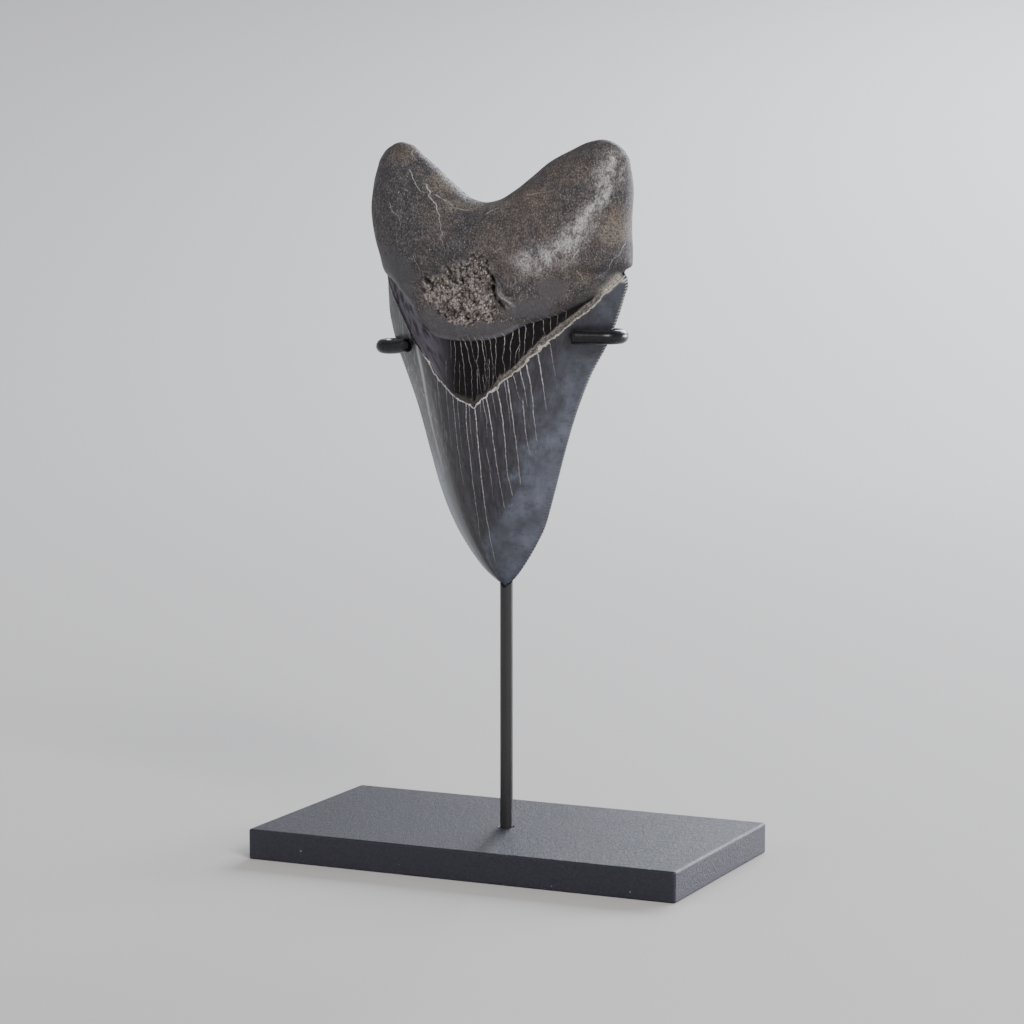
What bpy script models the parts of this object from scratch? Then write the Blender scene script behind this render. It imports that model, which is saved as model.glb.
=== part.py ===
"""A megalodon tooth that stands point down on a thin steel post, held by two sleeved claws.

Everything is in metres with +Z up, and the tooth faces -Y. The origin is on the floor under the
middle of the base. The tooth is lofted in millimetres from its own tip and then put in its seat.
"""
import math

import bmesh
import bpy
import numpy as np
from mathutils import Matrix, Vector

MM = 0.001
FIT_GAP = 0.3 * MM              # clearance wherever two pieces touch

# Base: a flat bar with softened edges and a blind hole for the post.
BASE_LENGTH = 150 * MM
BASE_DEPTH = 80 * MM
BASE_THICKNESS = 10 * MM
BASE_EDGE = 0.7 * MM

# Post: a round rod, filed to a half-round strut above the V-shaped seat of the tip.
POST_RADIUS = 2.1 * MM
POST_Y = -1.4 * MM
POST_SOCKET_DEPTH = 7 * MM
POST_SIDES = 32
SEAT_HEIGHT = 89.0 * MM
SEAT_RISE = 0.78                # how steeply the sides of the V rise
STRUT_TOP = 173.5 * MM

# Claws: one bent wire, brazed across the back of the strut, with a soft sleeve on each hook.
WIRE_RADIUS = 1.4 * MM
WIRE_SHORT_OF_SLEEVE = 1.0 * MM
SLEEVE_RADIUS = 2.3 * MM
SLEEVE_WALL = 0.6 * MM
SLEEVE_ON_BAR = 7 * MM
BEND_STEPS = 9
LEFT_CLAW = {
    "side": -1,
    "reach": 42.2 * MM,         # from the middle to the outside of the bend's centre line
    "bend_radius": 6.8 * MM,
    "finger_angle": math.radians(24),
    "finger_length": 9.9 * MM,
    "height": 166.6 * MM,
    "finger_rise": 1.1 * MM,
}
RIGHT_CLAW = {
    "side": 1,
    "reach": 40.7 * MM,
    "bend_radius": 6.6 * MM,
    "finger_angle": math.radians(28),
    "finger_length": 9.4 * MM,
    "height": 171.6 * MM,
    "finger_rise": 0.2 * MM,
}

# Tooth: where its tip stands, and the loft's density.
TOOTH_TIP = Vector((-0.15 * MM, -2.1 * MM, 89.5 * MM))
TOOTH_COLUMNS = 32
CROWN_ROWS = 18
BOURLETTE_ROWS = 4
ROOT_ROWS = 17

# The outline, in millimetres from the tip: (height, x) up each cutting edge and root side.
LEFT_SIDE = (
    (0, 0), (2, -3.1), (5.5, -7.3), (12, -12.5), (20, -17.4), (30, -21.8), (44, -26.2),
    (58, -30.4), (70, -35.0), (80, -38.7), (90, -40.7), (98.5, -41.0), (104, -40.7),
    (112, -41.9), (122, -43.3), (130, -42.4), (135.5, -41.0),
)
RIGHT_SIDE = (
    (0, 0), (2, 2.8), (5.5, 5.9), (12, 10.3), (20, 14.7), (30, 17.9), (44, 21.8),
    (58, 26.2), (70, 31.2), (80, 36.8), (90, 41.0), (95.4, 42.8), (98.5, 43.8), (100.2, 43.95),
    (101.5, 43.7), (102.4, 43.2), (103.0, 43.5), (103.6, 44.6), (104.3, 45.9), (105.4, 46.6),
    (108, 46.8), (118, 46.8), (128, 47.4), (138, 46.1),
)
# The root's two lobes and the valley between them: (x, height).
LOBES = (
    (-41.0, 135.5), (-39.6, 138.6), (-37.2, 141.3), (-33, 143.1), (-29, 142.1), (-25, 138.7),
    (-20, 134.8), (-14, 129.5), (-8, 125.2), (-3, 124.1), (2, 125.0), (8, 128.2),
    (14, 132.6), (20, 137.2), (28, 141.4), (35, 143.8), (40.5, 143.5), (44, 141.5),
    (46.1, 138),
)
# Lines across the tooth: (x, height) of the enamel's upper edge in front, of the root's lower
# edge in front, and of the enamel's upper edge behind.
ENAMEL_FRONT = (
    (-41.0, 98.5), (-38.1, 94.0), (-33.1, 87.5), (-26.8, 78.9), (-20.5, 72.7), (-14.0, 65.1),
    (-7.6, 61.2), (-3.5, 59.4), (-0.1, 62.4), (4.7, 65.2), (10.1, 69.8), (17.8, 77.1),
    (23.5, 82.3), (31.8, 89.4), (39.9, 97.7), (43.6, 101.7),
)
ROOT_FRONT = (
    (-40.9, 100.5), (-36, 98.6), (-30.3, 94.4), (-24.9, 89.6), (-23.1, 85.8), (-19.6, 82.7),
    (-14.6, 80.7), (-6.7, 80.2), (0.8, 80.8), (7.5, 82.2), (14.3, 85.6), (20.3, 87.5),
    (26.4, 90.1), (37.7, 97.0), (43.2, 102.5),
)
ENAMEL_BACK = ((-41.0, 98.5), (-34, 95.5), (-22, 92), (-2, 90.2), (20, 93), (34, 97), (43.6, 101.7))

# Depths against height: the outline's own place, and how far the faces stand from it.
OUTLINE_DEPTH = ((0, 0), (10, -0.7), (30, -1.5), (97, -2.0), (106, -5.6), (115, -7.6), (144, -8.0))
CROWN_FRONT = (
    (0, 0), (3, 1.5), (6, 2.8), (15, 5.9), (30, 9.7), (45, 12.4), (60, 14.6), (75, 16.2),
    (88, 17.0), (144, 17.0),
)
CROWN_BACK = ((0, 0), (5, 0.6), (15, 1.4), (30, 1.9), (97, 2.2), (144, 2.2))
ROOT_FRONT_DEPTH = ((78, 17.4), (90, 18.6), (100, 17.6), (112, 16.2), (126, 13.6), (144, 11.0))
ROOT_BACK_DEPTH = ((78, 7.4), (98, 8.4), (112, 10.0), (126, 9.6), (144, 7.6))
ROOT_ARCH = 0.3                 # share of the root's front depth that is lost at its sides
ROOT_ROUNDING = 16.0            # how far in from the root's outline it stays rounded
ROOT_LIP = 4.0                  # height over which the root's lower edge swells out
ENAMEL_STEP = 0.5               # the enamel stands this proud of the bourlette
BACK_SWELL = 9.0                # height over which the back goes from enamel to root
HOLLOW_CENTRE = (-3.6, 96.0)    # middle of the worn, spongy hollow in the root's front
HOLLOW_SIZE = (14.5, 10.5)
HOLLOW_DEPTH = 1.5
HOLLOW_LUMP = 0.5
LUMP_PITCH = 5.5

ENAMEL_BLUE = (0.060, 0.068, 0.085, 1)
BLACK_STEEL = (0.018, 0.018, 0.019, 1)
BLACK_SLEEVE = (0.008, 0.008, 0.009, 1)
BASE_CHARCOAL = (0.030, 0.031, 0.035, 1)


def remove_old_objects():
    for old in list(bpy.data.objects):
        bpy.data.objects.remove(old, do_unlink=True)


def new_collection(name):
    collection = bpy.data.collections.new(name)
    bpy.context.scene.collection.children.link(collection)
    return collection


def new_material(name, colour, roughness, metallic):
    material = bpy.data.materials.new(name)
    material.use_nodes = True
    shader = material.node_tree.nodes["Principled BSDF"]
    shader.inputs["Base Color"].default_value = colour
    shader.inputs["Roughness"].default_value = roughness
    shader.inputs["Metallic"].default_value = metallic
    material.diffuse_color = colour
    return material


def add_object(name, data, collection, material=None):
    thing = bpy.data.objects.new(name, data)
    collection.objects.link(thing)
    if material:
        data.materials.append(material)
    return thing


def mark_as_cutter(thing):
    thing.hide_render = True
    thing.display_type = "WIRE"


def cut(thing, cutter):
    boolean = thing.modifiers.new("cut by " + cutter.name, "BOOLEAN")
    boolean.operation = "DIFFERENCE"
    boolean.solver = "EXACT"
    boolean.object = cutter


# ---- Tooth -------------------------------------------------------------------------------

def curve_through(points, at):
    """Smooth curve through (position, value) points, read at the positions in at.

    Its slope at each point is the harmonic mean of the slopes on both sides, and level where the
    points turn back, so it never swings past them.
    """
    place, value = np.array(points, dtype=float).T
    step = np.diff(place)
    slope = np.diff(value) / step
    before, after = slope[:-1], slope[1:]
    onward = before * after > 0
    tangent = np.concatenate([slope[:1], np.zeros(len(slope) - 1), slope[-1:]])
    tangent[1:-1][onward] = 2 * before[onward] * after[onward] / (before + after)[onward]
    at = np.clip(at, place[0], place[-1])
    i = np.clip(np.searchsorted(place, at, side="right") - 1, 0, len(step) - 1)
    t = (at - place[i]) / step[i]
    start = (2 * t**3 - 3 * t**2 + 1) * value[i] + (t**3 - 2 * t**2 + t) * step[i] * tangent[i]
    end = (3 * t**2 - 2 * t**3) * value[i + 1] + (t**3 - t**2) * step[i] * tangent[i + 1]
    return start + end


def smooth_step(t):
    t = np.clip(t, 0, 1)
    return t * t * (3 - 2 * t)


def quarter_round(t):
    """Rises like a quarter circle from 0 at t = 0 to 1 at t = 1."""
    return np.sqrt(1 - (1 - np.clip(t, 0, 1))**2)


def x_across(across, height):
    """X at a share of the tooth's width, -1 on the left outline and 1 on the right one."""
    left = curve_through(LEFT_SIDE, height)
    right = curve_through(RIGHT_SIDE, height)
    return left + (right - left) * (across + 1) / 2


def heights_on_line(across, line):
    """Height at which each column of the loft meets a line that crosses the tooth."""
    height = np.full_like(across, line[len(line) // 2][1])
    for _ in range(60):
        height += 0.6 * (curve_through(line, x_across(across, height)) - height)
    height[0] = line[0][1]
    height[-1] = line[-1][1]
    return height


def distance_from_root_outline(x, height):
    """Distance in from the root's sides and lobes, with the corner between them rounded."""
    inside = np.minimum(x - curve_through(LEFT_SIDE, height), curve_through(RIGHT_SIDE, height) - x)
    x = np.clip(x, LOBES[0][0] + 0.2, LOBES[-1][0] - 0.2)
    below = curve_through(LOBES, x)
    slope = (curve_through(LOBES, x + 0.2) - curve_through(LOBES, x - 0.2)) / 0.4
    below = np.clip(below - height, 0, None) / np.sqrt(1 + slope**2)
    inside = np.clip(inside, 0, None)
    tiny = 1e-6
    return ((inside + tiny)**-4 + (below + tiny)**-4)**-0.25


def hollow(x, height):
    """Depth of the spongy hollow, with coarse lumps on its floor."""
    away = np.hypot((x - HOLLOW_CENTRE[0]) / HOLLOW_SIZE[0], (height - HOLLOW_CENTRE[1]) / HOLLOW_SIZE[1])
    inside = smooth_step((1 - away) / 0.35)
    turn = 2 * math.pi / LUMP_PITCH
    lumps = np.sin(turn * (x + 0.4 * height)) * np.sin(turn * (height - 0.3 * x))
    return inside * (HOLLOW_DEPTH - HOLLOW_LUMP * lumps)


def front_surface(across, x, height, enamel_edge, root_edge):
    """Y of the front: the crown's lens section below, the rounded root above its lip."""
    crown = curve_through(CROWN_FRONT, height) * (1 - across**2)**0.95
    crown -= ENAMEL_STEP * smooth_step((height - enamel_edge) / 0.5) * (1 - across**2)
    root = curve_through(ROOT_FRONT_DEPTH, height) * (1 - ROOT_ARCH * across**2)
    root = root * quarter_round(distance_from_root_outline(x, height) / ROOT_ROUNDING)
    root -= hollow(x, height)
    share = quarter_round((height - root_edge) / ROOT_LIP)
    return curve_through(OUTLINE_DEPTH, height) - (crown + (root - crown) * share)


def back_surface(across, x, height, enamel_edge):
    """Y of the back: nearly flat enamel below, and the root's fuller back above it."""
    crown = curve_through(CROWN_BACK, height) * (1 - np.abs(across)**2.2)**0.9
    root = curve_through(ROOT_BACK_DEPTH, height)
    root = root * quarter_round(distance_from_root_outline(x, height) / ROOT_ROUNDING)
    share = smooth_step((height - enamel_edge) / BACK_SWELL)
    return curve_through(OUTLINE_DEPTH, height) + crown + (root - crown) * share


def loft_rows(across, crown_top, root_bottom, band_shares):
    """X and height of every row, from the tip up to the lobes' outline."""
    crown_shares = np.linspace(0, 1, CROWN_ROWS + 1)[1:, None]
    crown_height = crown_top * crown_shares
    band_height = crown_top + (root_bottom - crown_top) * band_shares[:, None]
    low_height = np.vstack([crown_height, band_height])
    low_x = x_across(across, low_height)

    rise = 1 - (1 - np.linspace(0, 1, ROOT_ROWS + 1)[1:, None])**1.7
    left_height = root_bottom[0] + (LOBES[0][1] - root_bottom[0]) * rise
    right_height = root_bottom[-1] + (LOBES[-1][1] - root_bottom[-1]) * rise
    left = curve_through(LEFT_SIDE, left_height)
    right = curve_through(RIGHT_SIDE, right_height)
    row_x = left + (right - left) * (across + 1) / 2
    straight_x = x_across(across, root_bottom) * (1 - rise) + row_x * rise
    near_side = np.abs(across)**6
    root_x = straight_x * (1 - near_side) + row_x * near_side
    root_height = root_bottom * (1 - rise) + curve_through(LOBES, root_x) * rise
    return np.vstack([low_x, root_x]), np.vstack([low_height, root_height])


def tooth_points():
    """Front and back of the loft as (row, column, xyz); their side columns are the same."""
    across = np.sin(np.linspace(-math.pi / 2, math.pi / 2, TOOTH_COLUMNS + 1))
    enamel_edge = heights_on_line(across, ENAMEL_FRONT)
    root_edge = np.maximum(heights_on_line(across, ROOT_FRONT), enamel_edge + 0.3)
    back_edge = heights_on_line(across, ENAMEL_BACK)
    back_top = back_edge + (root_edge[0] - back_edge[0]) * np.ones_like(across)
    back_top[-1] = root_edge[-1]
    band_shares = np.linspace(0, 1, BOURLETTE_ROWS)**1.6
    band_shares = np.append(0.03, band_shares[1:])

    front_x, front_height = loft_rows(across, enamel_edge, root_edge, band_shares)
    back_x, back_height = loft_rows(across, back_edge, back_top, band_shares)
    front_y = front_surface(across, front_x, front_height, enamel_edge, root_edge)
    back_y = back_surface(across, back_x, back_height, back_edge)
    outline_y = curve_through(OUTLINE_DEPTH, front_height)

    for side in (0, -1):
        back_x[:, side] = front_x[:, side]
        back_height[:, side] = front_height[:, side]
        front_y[:, side] = outline_y[:, side]
        back_y[:, side] = outline_y[:, side]
    back_x[-1] = front_x[-1]
    back_height[-1] = front_height[-1]
    front_y[-1] = outline_y[-1]
    back_y[-1] = outline_y[-1]
    front = np.stack([front_x, front_y, front_height], axis=-1)
    back = np.stack([back_x, back_y, back_height], axis=-1)
    return front, back


def build_tooth(collection, material):
    """Rings round the tooth, closed by the tip below and by the lobes' outline above."""
    front, back = tooth_points()
    mesh = bmesh.new()
    tip = mesh.verts.new((0, 0, 0))
    rings = []
    for front_row, back_row in zip(front[:-1], back[:-1]):
        ring = np.vstack([front_row, back_row[-2:0:-1]]) * MM
        rings.append([mesh.verts.new(point) for point in ring])
    crest = [mesh.verts.new(point) for point in front[-1] * MM]
    crest_ring = crest + crest[-2:0:-1]

    around = len(rings[0])
    for j in range(around):
        mesh.faces.new((tip, rings[0][(j + 1) % around], rings[0][j]))
    for lower, upper in zip(rings, rings[1:] + [crest_ring]):
        for j in range(around):
            k = (j + 1) % around
            mesh.faces.new((lower[j], lower[k], upper[k], upper[j]))
    bmesh.ops.recalc_face_normals(mesh, faces=mesh.faces)
    data = bpy.data.meshes.new("tooth")
    mesh.to_mesh(data)
    mesh.free()
    data.shade_smooth()
    tooth = add_object("tooth", data, collection, material)
    tooth.location = TOOTH_TIP
    return tooth


# ---- Stand -------------------------------------------------------------------------------

def add_cylinder(name, radius, bottom, top, collection, material=None):
    mesh = bmesh.new()
    bmesh.ops.create_cone(
        mesh, cap_ends=True, segments=POST_SIDES, radius1=radius, radius2=radius, depth=top - bottom)
    data = bpy.data.meshes.new(name)
    mesh.to_mesh(data)
    mesh.free()
    data.shade_smooth()
    data.set_sharp_from_angle(angle=math.radians(40))
    rod = add_object(name, data, collection, material)
    rod.location = (0, POST_Y, (bottom + top) / 2)
    return rod


def build_base(collection, cutters, material):
    mesh = bmesh.new()
    size = Matrix.Diagonal((BASE_LENGTH, BASE_DEPTH, BASE_THICKNESS, 1))
    bmesh.ops.create_cube(mesh, size=1, matrix=size)
    data = bpy.data.meshes.new("base")
    mesh.to_mesh(data)
    mesh.free()
    base = add_object("base", data, collection, material)
    base.location.z = BASE_THICKNESS / 2
    bevel = base.modifiers.new("softened edges", "BEVEL")
    bevel.width = BASE_EDGE
    bevel.segments = 3
    hole = add_cylinder(
        "post_hole", POST_RADIUS + FIT_GAP, BASE_THICKNESS - POST_SOCKET_DEPTH,
        BASE_THICKNESS * 2, cutters)
    mark_as_cutter(hole)
    cut(base, hole)
    return base


def build_post(collection, cutters, material):
    """The rod, with everything in front of its middle filed away above a V-shaped seat."""
    bottom = BASE_THICKNESS - POST_SOCKET_DEPTH + FIT_GAP
    post = add_cylinder("post", POST_RADIUS, bottom, STRUT_TOP, collection, material)
    side = 2 * (STRUT_TOP - SEAT_HEIGHT)
    depth = 6 * POST_RADIUS
    half_height = side / math.sqrt(2) * SEAT_RISE
    shape = Matrix.Diagonal((1, 1, SEAT_RISE, 1)) @ Matrix.Rotation(math.radians(45), 4, "Y")
    shape = shape @ Matrix.Diagonal((side, depth, side, 1))
    mesh = bmesh.new()
    bmesh.ops.create_cube(mesh, size=1, matrix=shape)
    data = bpy.data.meshes.new("filed_away")
    mesh.to_mesh(data)
    mesh.free()
    filed_away = add_object("filed_away", data, cutters)
    filed_away.location = (0, POST_Y - depth / 2, SEAT_HEIGHT + half_height)
    mark_as_cutter(filed_away)
    cut(post, filed_away)
    return post


def claw_route(claw, sleeve_only=False):
    """Centre line of half the bent wire, from the strut outwards to the finger's end."""
    bar_y = POST_Y + POST_RADIUS + FIT_GAP + WIRE_RADIUS
    radius = claw["bend_radius"]
    angle = claw["finger_angle"]
    centre = Vector((claw["reach"] - radius, bar_y - radius))
    middle_height = (LEFT_CLAW["height"] + RIGHT_CLAW["height"]) / 2

    def place(x, y, height):
        return Vector((claw["side"] * x, y, height))

    bar_start = centre.x - SLEEVE_ON_BAR if sleeve_only else 0
    slope = (claw["height"] - middle_height) / centre.x
    route = [place(bar_start, bar_y, middle_height + slope * bar_start)]
    for turn in np.linspace(0, math.pi - angle, BEND_STEPS):
        x = centre.x + radius * math.sin(turn)
        y = centre.y + radius * math.cos(turn)
        route.append(place(x, y, claw["height"]))
    length = claw["finger_length"] - (0 if sleeve_only else WIRE_SHORT_OF_SLEEVE)
    last = route[-1]
    route.append(place(
        abs(last.x) - length * math.cos(angle),
        last.y - length * math.sin(angle),
        last.z + claw["finger_rise"] * length / claw["finger_length"]))
    return route


def add_tube(name, route, radius, collection, material, resolution, filled):
    curve = bpy.data.curves.new(name, "CURVE")
    curve.dimensions = "3D"
    curve.bevel_depth = radius
    curve.bevel_resolution = resolution
    curve.use_fill_caps = filled
    spline = curve.splines.new("POLY")
    spline.points.add(len(route) - 1)
    for point, place in zip(spline.points, route):
        point.co = (*place, 1)
    spline.use_smooth = True
    return add_object(name, curve, collection, material)


def build_claw_bar(collection, material):
    route = claw_route(LEFT_CLAW)[:0:-1] + claw_route(RIGHT_CLAW)[1:]
    return add_tube("claw_bar", route, WIRE_RADIUS, collection, material, 3, True)


def build_sleeve(name, claw, collection, material):
    """An open tube round the hook, its wall made inwards and outwards from its middle."""
    middle_radius = SLEEVE_RADIUS - SLEEVE_WALL / 2
    route = claw_route(claw, sleeve_only=True)
    sleeve = add_tube(name, route, middle_radius, collection, material, 4, False)
    wall = sleeve.modifiers.new("sleeve wall", "SOLIDIFY")
    wall.thickness = SLEEVE_WALL
    wall.offset = 0
    return sleeve


def main():
    remove_old_objects()
    parts = new_collection("megalodon_tooth_on_stand")
    cutters = new_collection("cutters")
    enamel = new_material("fossil tooth", ENAMEL_BLUE, 0.35, 0)
    steel = new_material("black steel", BLACK_STEEL, 0.45, 0)
    rubber = new_material("black sleeve", BLACK_SLEEVE, 0.2, 0)
    charcoal = new_material("charcoal base", BASE_CHARCOAL, 0.6, 0)

    stand = add_object("stand_origin", None, parts)
    pieces = [
        build_tooth(parts, enamel),
        build_base(parts, cutters, charcoal),
        build_post(parts, cutters, steel),
        build_claw_bar(parts, steel),
        build_sleeve("claw_sleeve_left", LEFT_CLAW, parts, rubber),
        build_sleeve("claw_sleeve_right", RIGHT_CLAW, parts, rubber),
    ]
    for piece in pieces:
        piece.parent = stand


main()
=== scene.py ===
import math

import bpy
import numpy as np
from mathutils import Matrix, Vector


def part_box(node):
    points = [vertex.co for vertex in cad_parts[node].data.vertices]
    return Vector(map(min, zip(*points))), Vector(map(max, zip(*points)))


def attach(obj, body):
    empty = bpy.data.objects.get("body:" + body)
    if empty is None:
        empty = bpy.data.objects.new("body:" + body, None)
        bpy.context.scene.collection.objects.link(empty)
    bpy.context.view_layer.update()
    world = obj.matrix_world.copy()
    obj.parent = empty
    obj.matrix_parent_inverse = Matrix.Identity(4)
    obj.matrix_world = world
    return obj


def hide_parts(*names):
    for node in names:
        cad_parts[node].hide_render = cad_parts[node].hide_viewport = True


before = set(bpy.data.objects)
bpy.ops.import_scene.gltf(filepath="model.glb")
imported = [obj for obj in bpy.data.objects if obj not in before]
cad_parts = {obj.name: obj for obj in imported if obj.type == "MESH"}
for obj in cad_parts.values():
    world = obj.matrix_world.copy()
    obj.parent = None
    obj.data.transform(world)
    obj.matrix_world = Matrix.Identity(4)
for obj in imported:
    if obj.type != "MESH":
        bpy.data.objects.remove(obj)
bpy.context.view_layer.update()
print("frame loaded:", sorted(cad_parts))

mm = 0.001  # lengths below are in millimetres unless a note says otherwise


# Curves and noise. All of them work on whole arrays.

def smoothCurve(points, at):
    # cubic Hermite through (position, value) points, whose slope at a point is the harmonic mean
    # of the slopes on both sides, and level where the points turn back
    place, value = np.array(points, dtype=float).T
    step = np.diff(place)
    slope = np.diff(value) / step
    before, after = slope[:-1], slope[1:]
    onward = before * after > 0
    tangent = np.concatenate([slope[:1], np.zeros(len(slope) - 1), slope[-1:]])
    tangent[1:-1][onward] = 2 * before[onward] * after[onward] / (before + after)[onward]
    at = np.clip(at, place[0], place[-1])
    i = np.clip(np.searchsorted(place, at, side="right") - 1, 0, len(step) - 1)
    t = (at - place[i]) / step[i]
    start = (2 * t**3 - 3 * t**2 + 1) * value[i] + (t**3 - 2 * t**2 + t) * step[i] * tangent[i]
    end = (3 * t**2 - 2 * t**3) * value[i + 1] + (t**3 - t**2) * step[i] * tangent[i + 1]
    return start + end


def smoothStep(t):
    # 3t^2 - 2t^3 between 0 and 1
    t = np.clip(t, 0, 1)
    return t * t * (3 - 2 * t)


def quarterRound(t):
    # rises like a quarter circle from 0 at t = 0 to 1 at t = 1
    return np.sqrt(1 - (1 - np.clip(t, 0, 1))**2)


def bell(t):
    # 1 at t = 0, falling off as e^(-t^2)
    return np.exp(-t**2)


def latticeValue(i, j, seed):
    # the fraction of a large sine gives each lattice point its own number from 0 to 1; the
    # factors have no meaning beyond being uneven
    n = np.sin(i * 127.1 + j * 311.7 + seed * 74.7) * 43758.5453
    return n - np.floor(n)


def softNoise(x, z, pitch, seed):
    # value noise: the lattice's numbers blended by smooth steps, from 0 to 1
    i, j = np.floor(x / pitch), np.floor(z / pitch)
    u, v = smoothStep(x / pitch - i), smoothStep(z / pitch - j)
    low = latticeValue(i, j, seed) * (1 - u) + latticeValue(i + 1, j, seed) * u
    high = latticeValue(i, j + 1, seed) * (1 - u) + latticeValue(i + 1, j + 1, seed) * u
    return low * (1 - v) + high * v


def swing(x, z, pitch, seed):
    # value noise about zero, from -0.5 to 0.5
    return softNoise(x, z, pitch, seed) - 0.5


def grains(x, z, pitch, seed):
    # distance in pitches to the nearest of one random point per lattice square, 0 on a grain's
    # middle and about 1 between grains, and a number from 0 to 1 that belongs to that point
    i, j = np.floor(x / pitch), np.floor(z / pitch)
    nearest, own = np.full_like(x, 9.0), np.zeros_like(x)
    for di in (-1, 0, 1):
        for dj in (-1, 0, 1):
            px = i + di + latticeValue(i + di, j + dj, seed)
            pz = j + dj + latticeValue(i + di, j + dj, seed + 5)
            away = np.hypot(x / pitch - px, z / pitch - pz)
            own = np.where(away < nearest, latticeValue(i + di, j + dj, seed + 9), own)
            nearest = np.minimum(nearest, away)
    return nearest, own


def alongLine(x, z, points):
    # distance to a broken line, counted negative on its left side, and which share of the line's
    # length the nearest point is at
    points = np.array(points, dtype=float)
    lengths = np.hypot(*np.diff(points, axis=0).T)
    nearest = np.full_like(x, 1e9)
    share, side = np.zeros_like(x), np.ones_like(x)
    for k, (a, b) in enumerate(zip(points[:-1], points[1:])):
        run = b - a
        t = np.clip(((x - a[0]) * run[0] + (z - a[1]) * run[1]) / (run @ run), 0, 1)
        away = np.hypot(x - a[0] - t * run[0], z - a[1] - t * run[1])
        closer = away < nearest
        nearest = np.where(closer, away, nearest)
        share = np.where(closer, (lengths[:k].sum() + t * lengths[k]) / lengths.sum(), share)
        turned = np.sign(run[1] * (x - a[0]) - run[0] * (z - a[1]))
        side = np.where(closer, turned, side)
    return nearest * side, share


def addMesh(name, points, faces, fields=None):
    # one closed mesh from points in millimetres and a list of face index arrays
    mesh = bpy.data.meshes.new(name)
    mesh.from_pydata((points * mm).tolist(), [], [face for group in faces for face in group.tolist()])
    for field, values in (fields or {}).items():
        mesh.attributes.new(field, "FLOAT", "POINT").data.foreach_set("value", values.astype(np.float32))
    mesh.shade_smooth()
    mesh.update()
    thing = bpy.data.objects.new(name, mesh)
    bpy.context.scene.collection.objects.link(thing)
    return thing


def loftRings(name, rings):
    # closed surface through rings of equal length (ring, around, xyz), with a pole at each end:
    # the first and last rings are single points given as a ring of one
    around = len(rings[1])
    middle = np.vstack(rings[1:-1])
    points = np.vstack([rings[0], middle, rings[-1]])
    j = np.arange(around)
    k = (j + 1) % around
    rows = np.arange(len(rings) - 3)[:, None] * around + 1
    quads = np.stack([rows + j, rows + k, rows + around + k, rows + around + j], axis=-1).reshape(-1, 4)
    last = len(points) - 1
    top = 1 + (len(rings) - 3) * around
    bottomFan = np.stack([np.zeros_like(j), 1 + k, 1 + j], axis=-1)
    topFan = np.stack([np.full_like(j, last), top + j, top + k], axis=-1)
    return addMesh(name, points, [bottomFan, quads, topFan])


# Tooth. Its own frame starts at the tip: x to the right, height up, y to the back.

toothPlan = {
    "columns": 198,
    "backEvery": 3,             # front columns to each column of the back
    "middleCrowding": 0.9,      # how much closer the columns stand over the spongy hollow
    "edgeCrowding": 2.6,
    "serrationPitch": 0.96,
    "serrationReach": 0.20,
    "serrationInset": 1.3,      # how far in from the edge its notches run
    "serrationSwell": 0.5,      # how much they thicken the edge, as a share of their reach
    "leftSerrations": 0.6,      # the left edge's, as a share of the right edge's
    "bandRows": 36,
    "bandCrowding": 1.5,        # of its rows towards the enamel
    "bandLeast": 0.3,           # how narrow the band may get
    "rootRows": 128,
    "rootCrowding": 1.35,       # of its rows towards the lobes' outline
    "tipDepth": -2.1,           # y of the tip on the stand
    "enamelStep": 0.55,
    "rimHeight": 0.16,
    "rootLip": 4.0,
    "rootRounding": 16.0,
    "rootArch": 0.3,
    "backSwell": 9.0,
    "grooveDepth": 0.10,        # of the cracks
    "grooveWidth": 0.3,
    "grooveFullFrom": 0.25,     # half width from which a crack's groove has all of its depth
    "fluteDepth": 0.10,         # soft upright waves on the crown's left half
    "fluteRate": 21,
    "flankRidge": 0.35,         # the swelling along the crown's left flank
    "flankAt": -0.62,           # its middle and half width, as shares of the tooth's half width
    "flankWidth": 0.13,
    "crownWaves": 0.10,
    "backWaves": 0.12,
    "foldHeight": 0.22,         # of the root's leathery folds
    "sheenRise": 0.15,
    "backStep": 0.3,
    "poreAt": (1.5, 108),       # the one feeding hole, on the root's back
    "poreRadius": 1.5,
    # the feeding hole's dark middle below is painted shade
    "poreMouth": 1.1,           # how far its dark middle reaches
    "poreTallness": 1.4,
    "poreDepth": 1.6,
    "enamelChips": 1.0,         # how ragged the enamel's edge is, and the root's lip
    "lipChips": 0.6,
    "chipsFade": 4.0,           # over how much of each end of a line its chips die out
}
leftSide = (
    (0, 0), (2, -3.1), (5.5, -7.3), (12, -12.5), (20, -17.4), (30, -21.8), (44, -26.2), (58, -30.4),
    (70, -35.0), (80, -38.7), (90, -40.7), (98.5, -41.0), (104, -40.7), (112, -41.9), (122, -43.3),
    (130, -42.4), (135.5, -41.0),
)
rightSide = (
    (0, 0), (2, 2.8), (5.5, 5.9), (12, 10.3), (20, 14.7), (30, 17.9), (44, 21.8), (58, 26.2),
    (70, 31.2), (80, 36.8), (90, 41.0), (95.4, 42.8), (98.5, 43.8), (100.2, 43.95), (101.5, 43.7),
    (102.4, 43.2), (103.0, 43.5), (103.6, 44.6), (104.3, 45.9), (105.4, 46.6), (108, 46.8), (118, 46.8),
    (128, 47.4), (138, 46.1),
)
lobes = (
    (-41.0, 135.5), (-39.6, 138.6), (-37.2, 141.3), (-33, 143.1), (-29, 142.1), (-25, 138.7),
    (-20, 134.8), (-14, 129.5), (-8, 125.2), (-3, 124.1), (2, 125.0), (8, 128.2), (14, 132.6),
    (20, 137.2), (28, 141.2), (33, 143.3), (37.2, 144.0), (40.8, 143.2), (44, 141.1), (46.1, 138),
)
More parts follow.
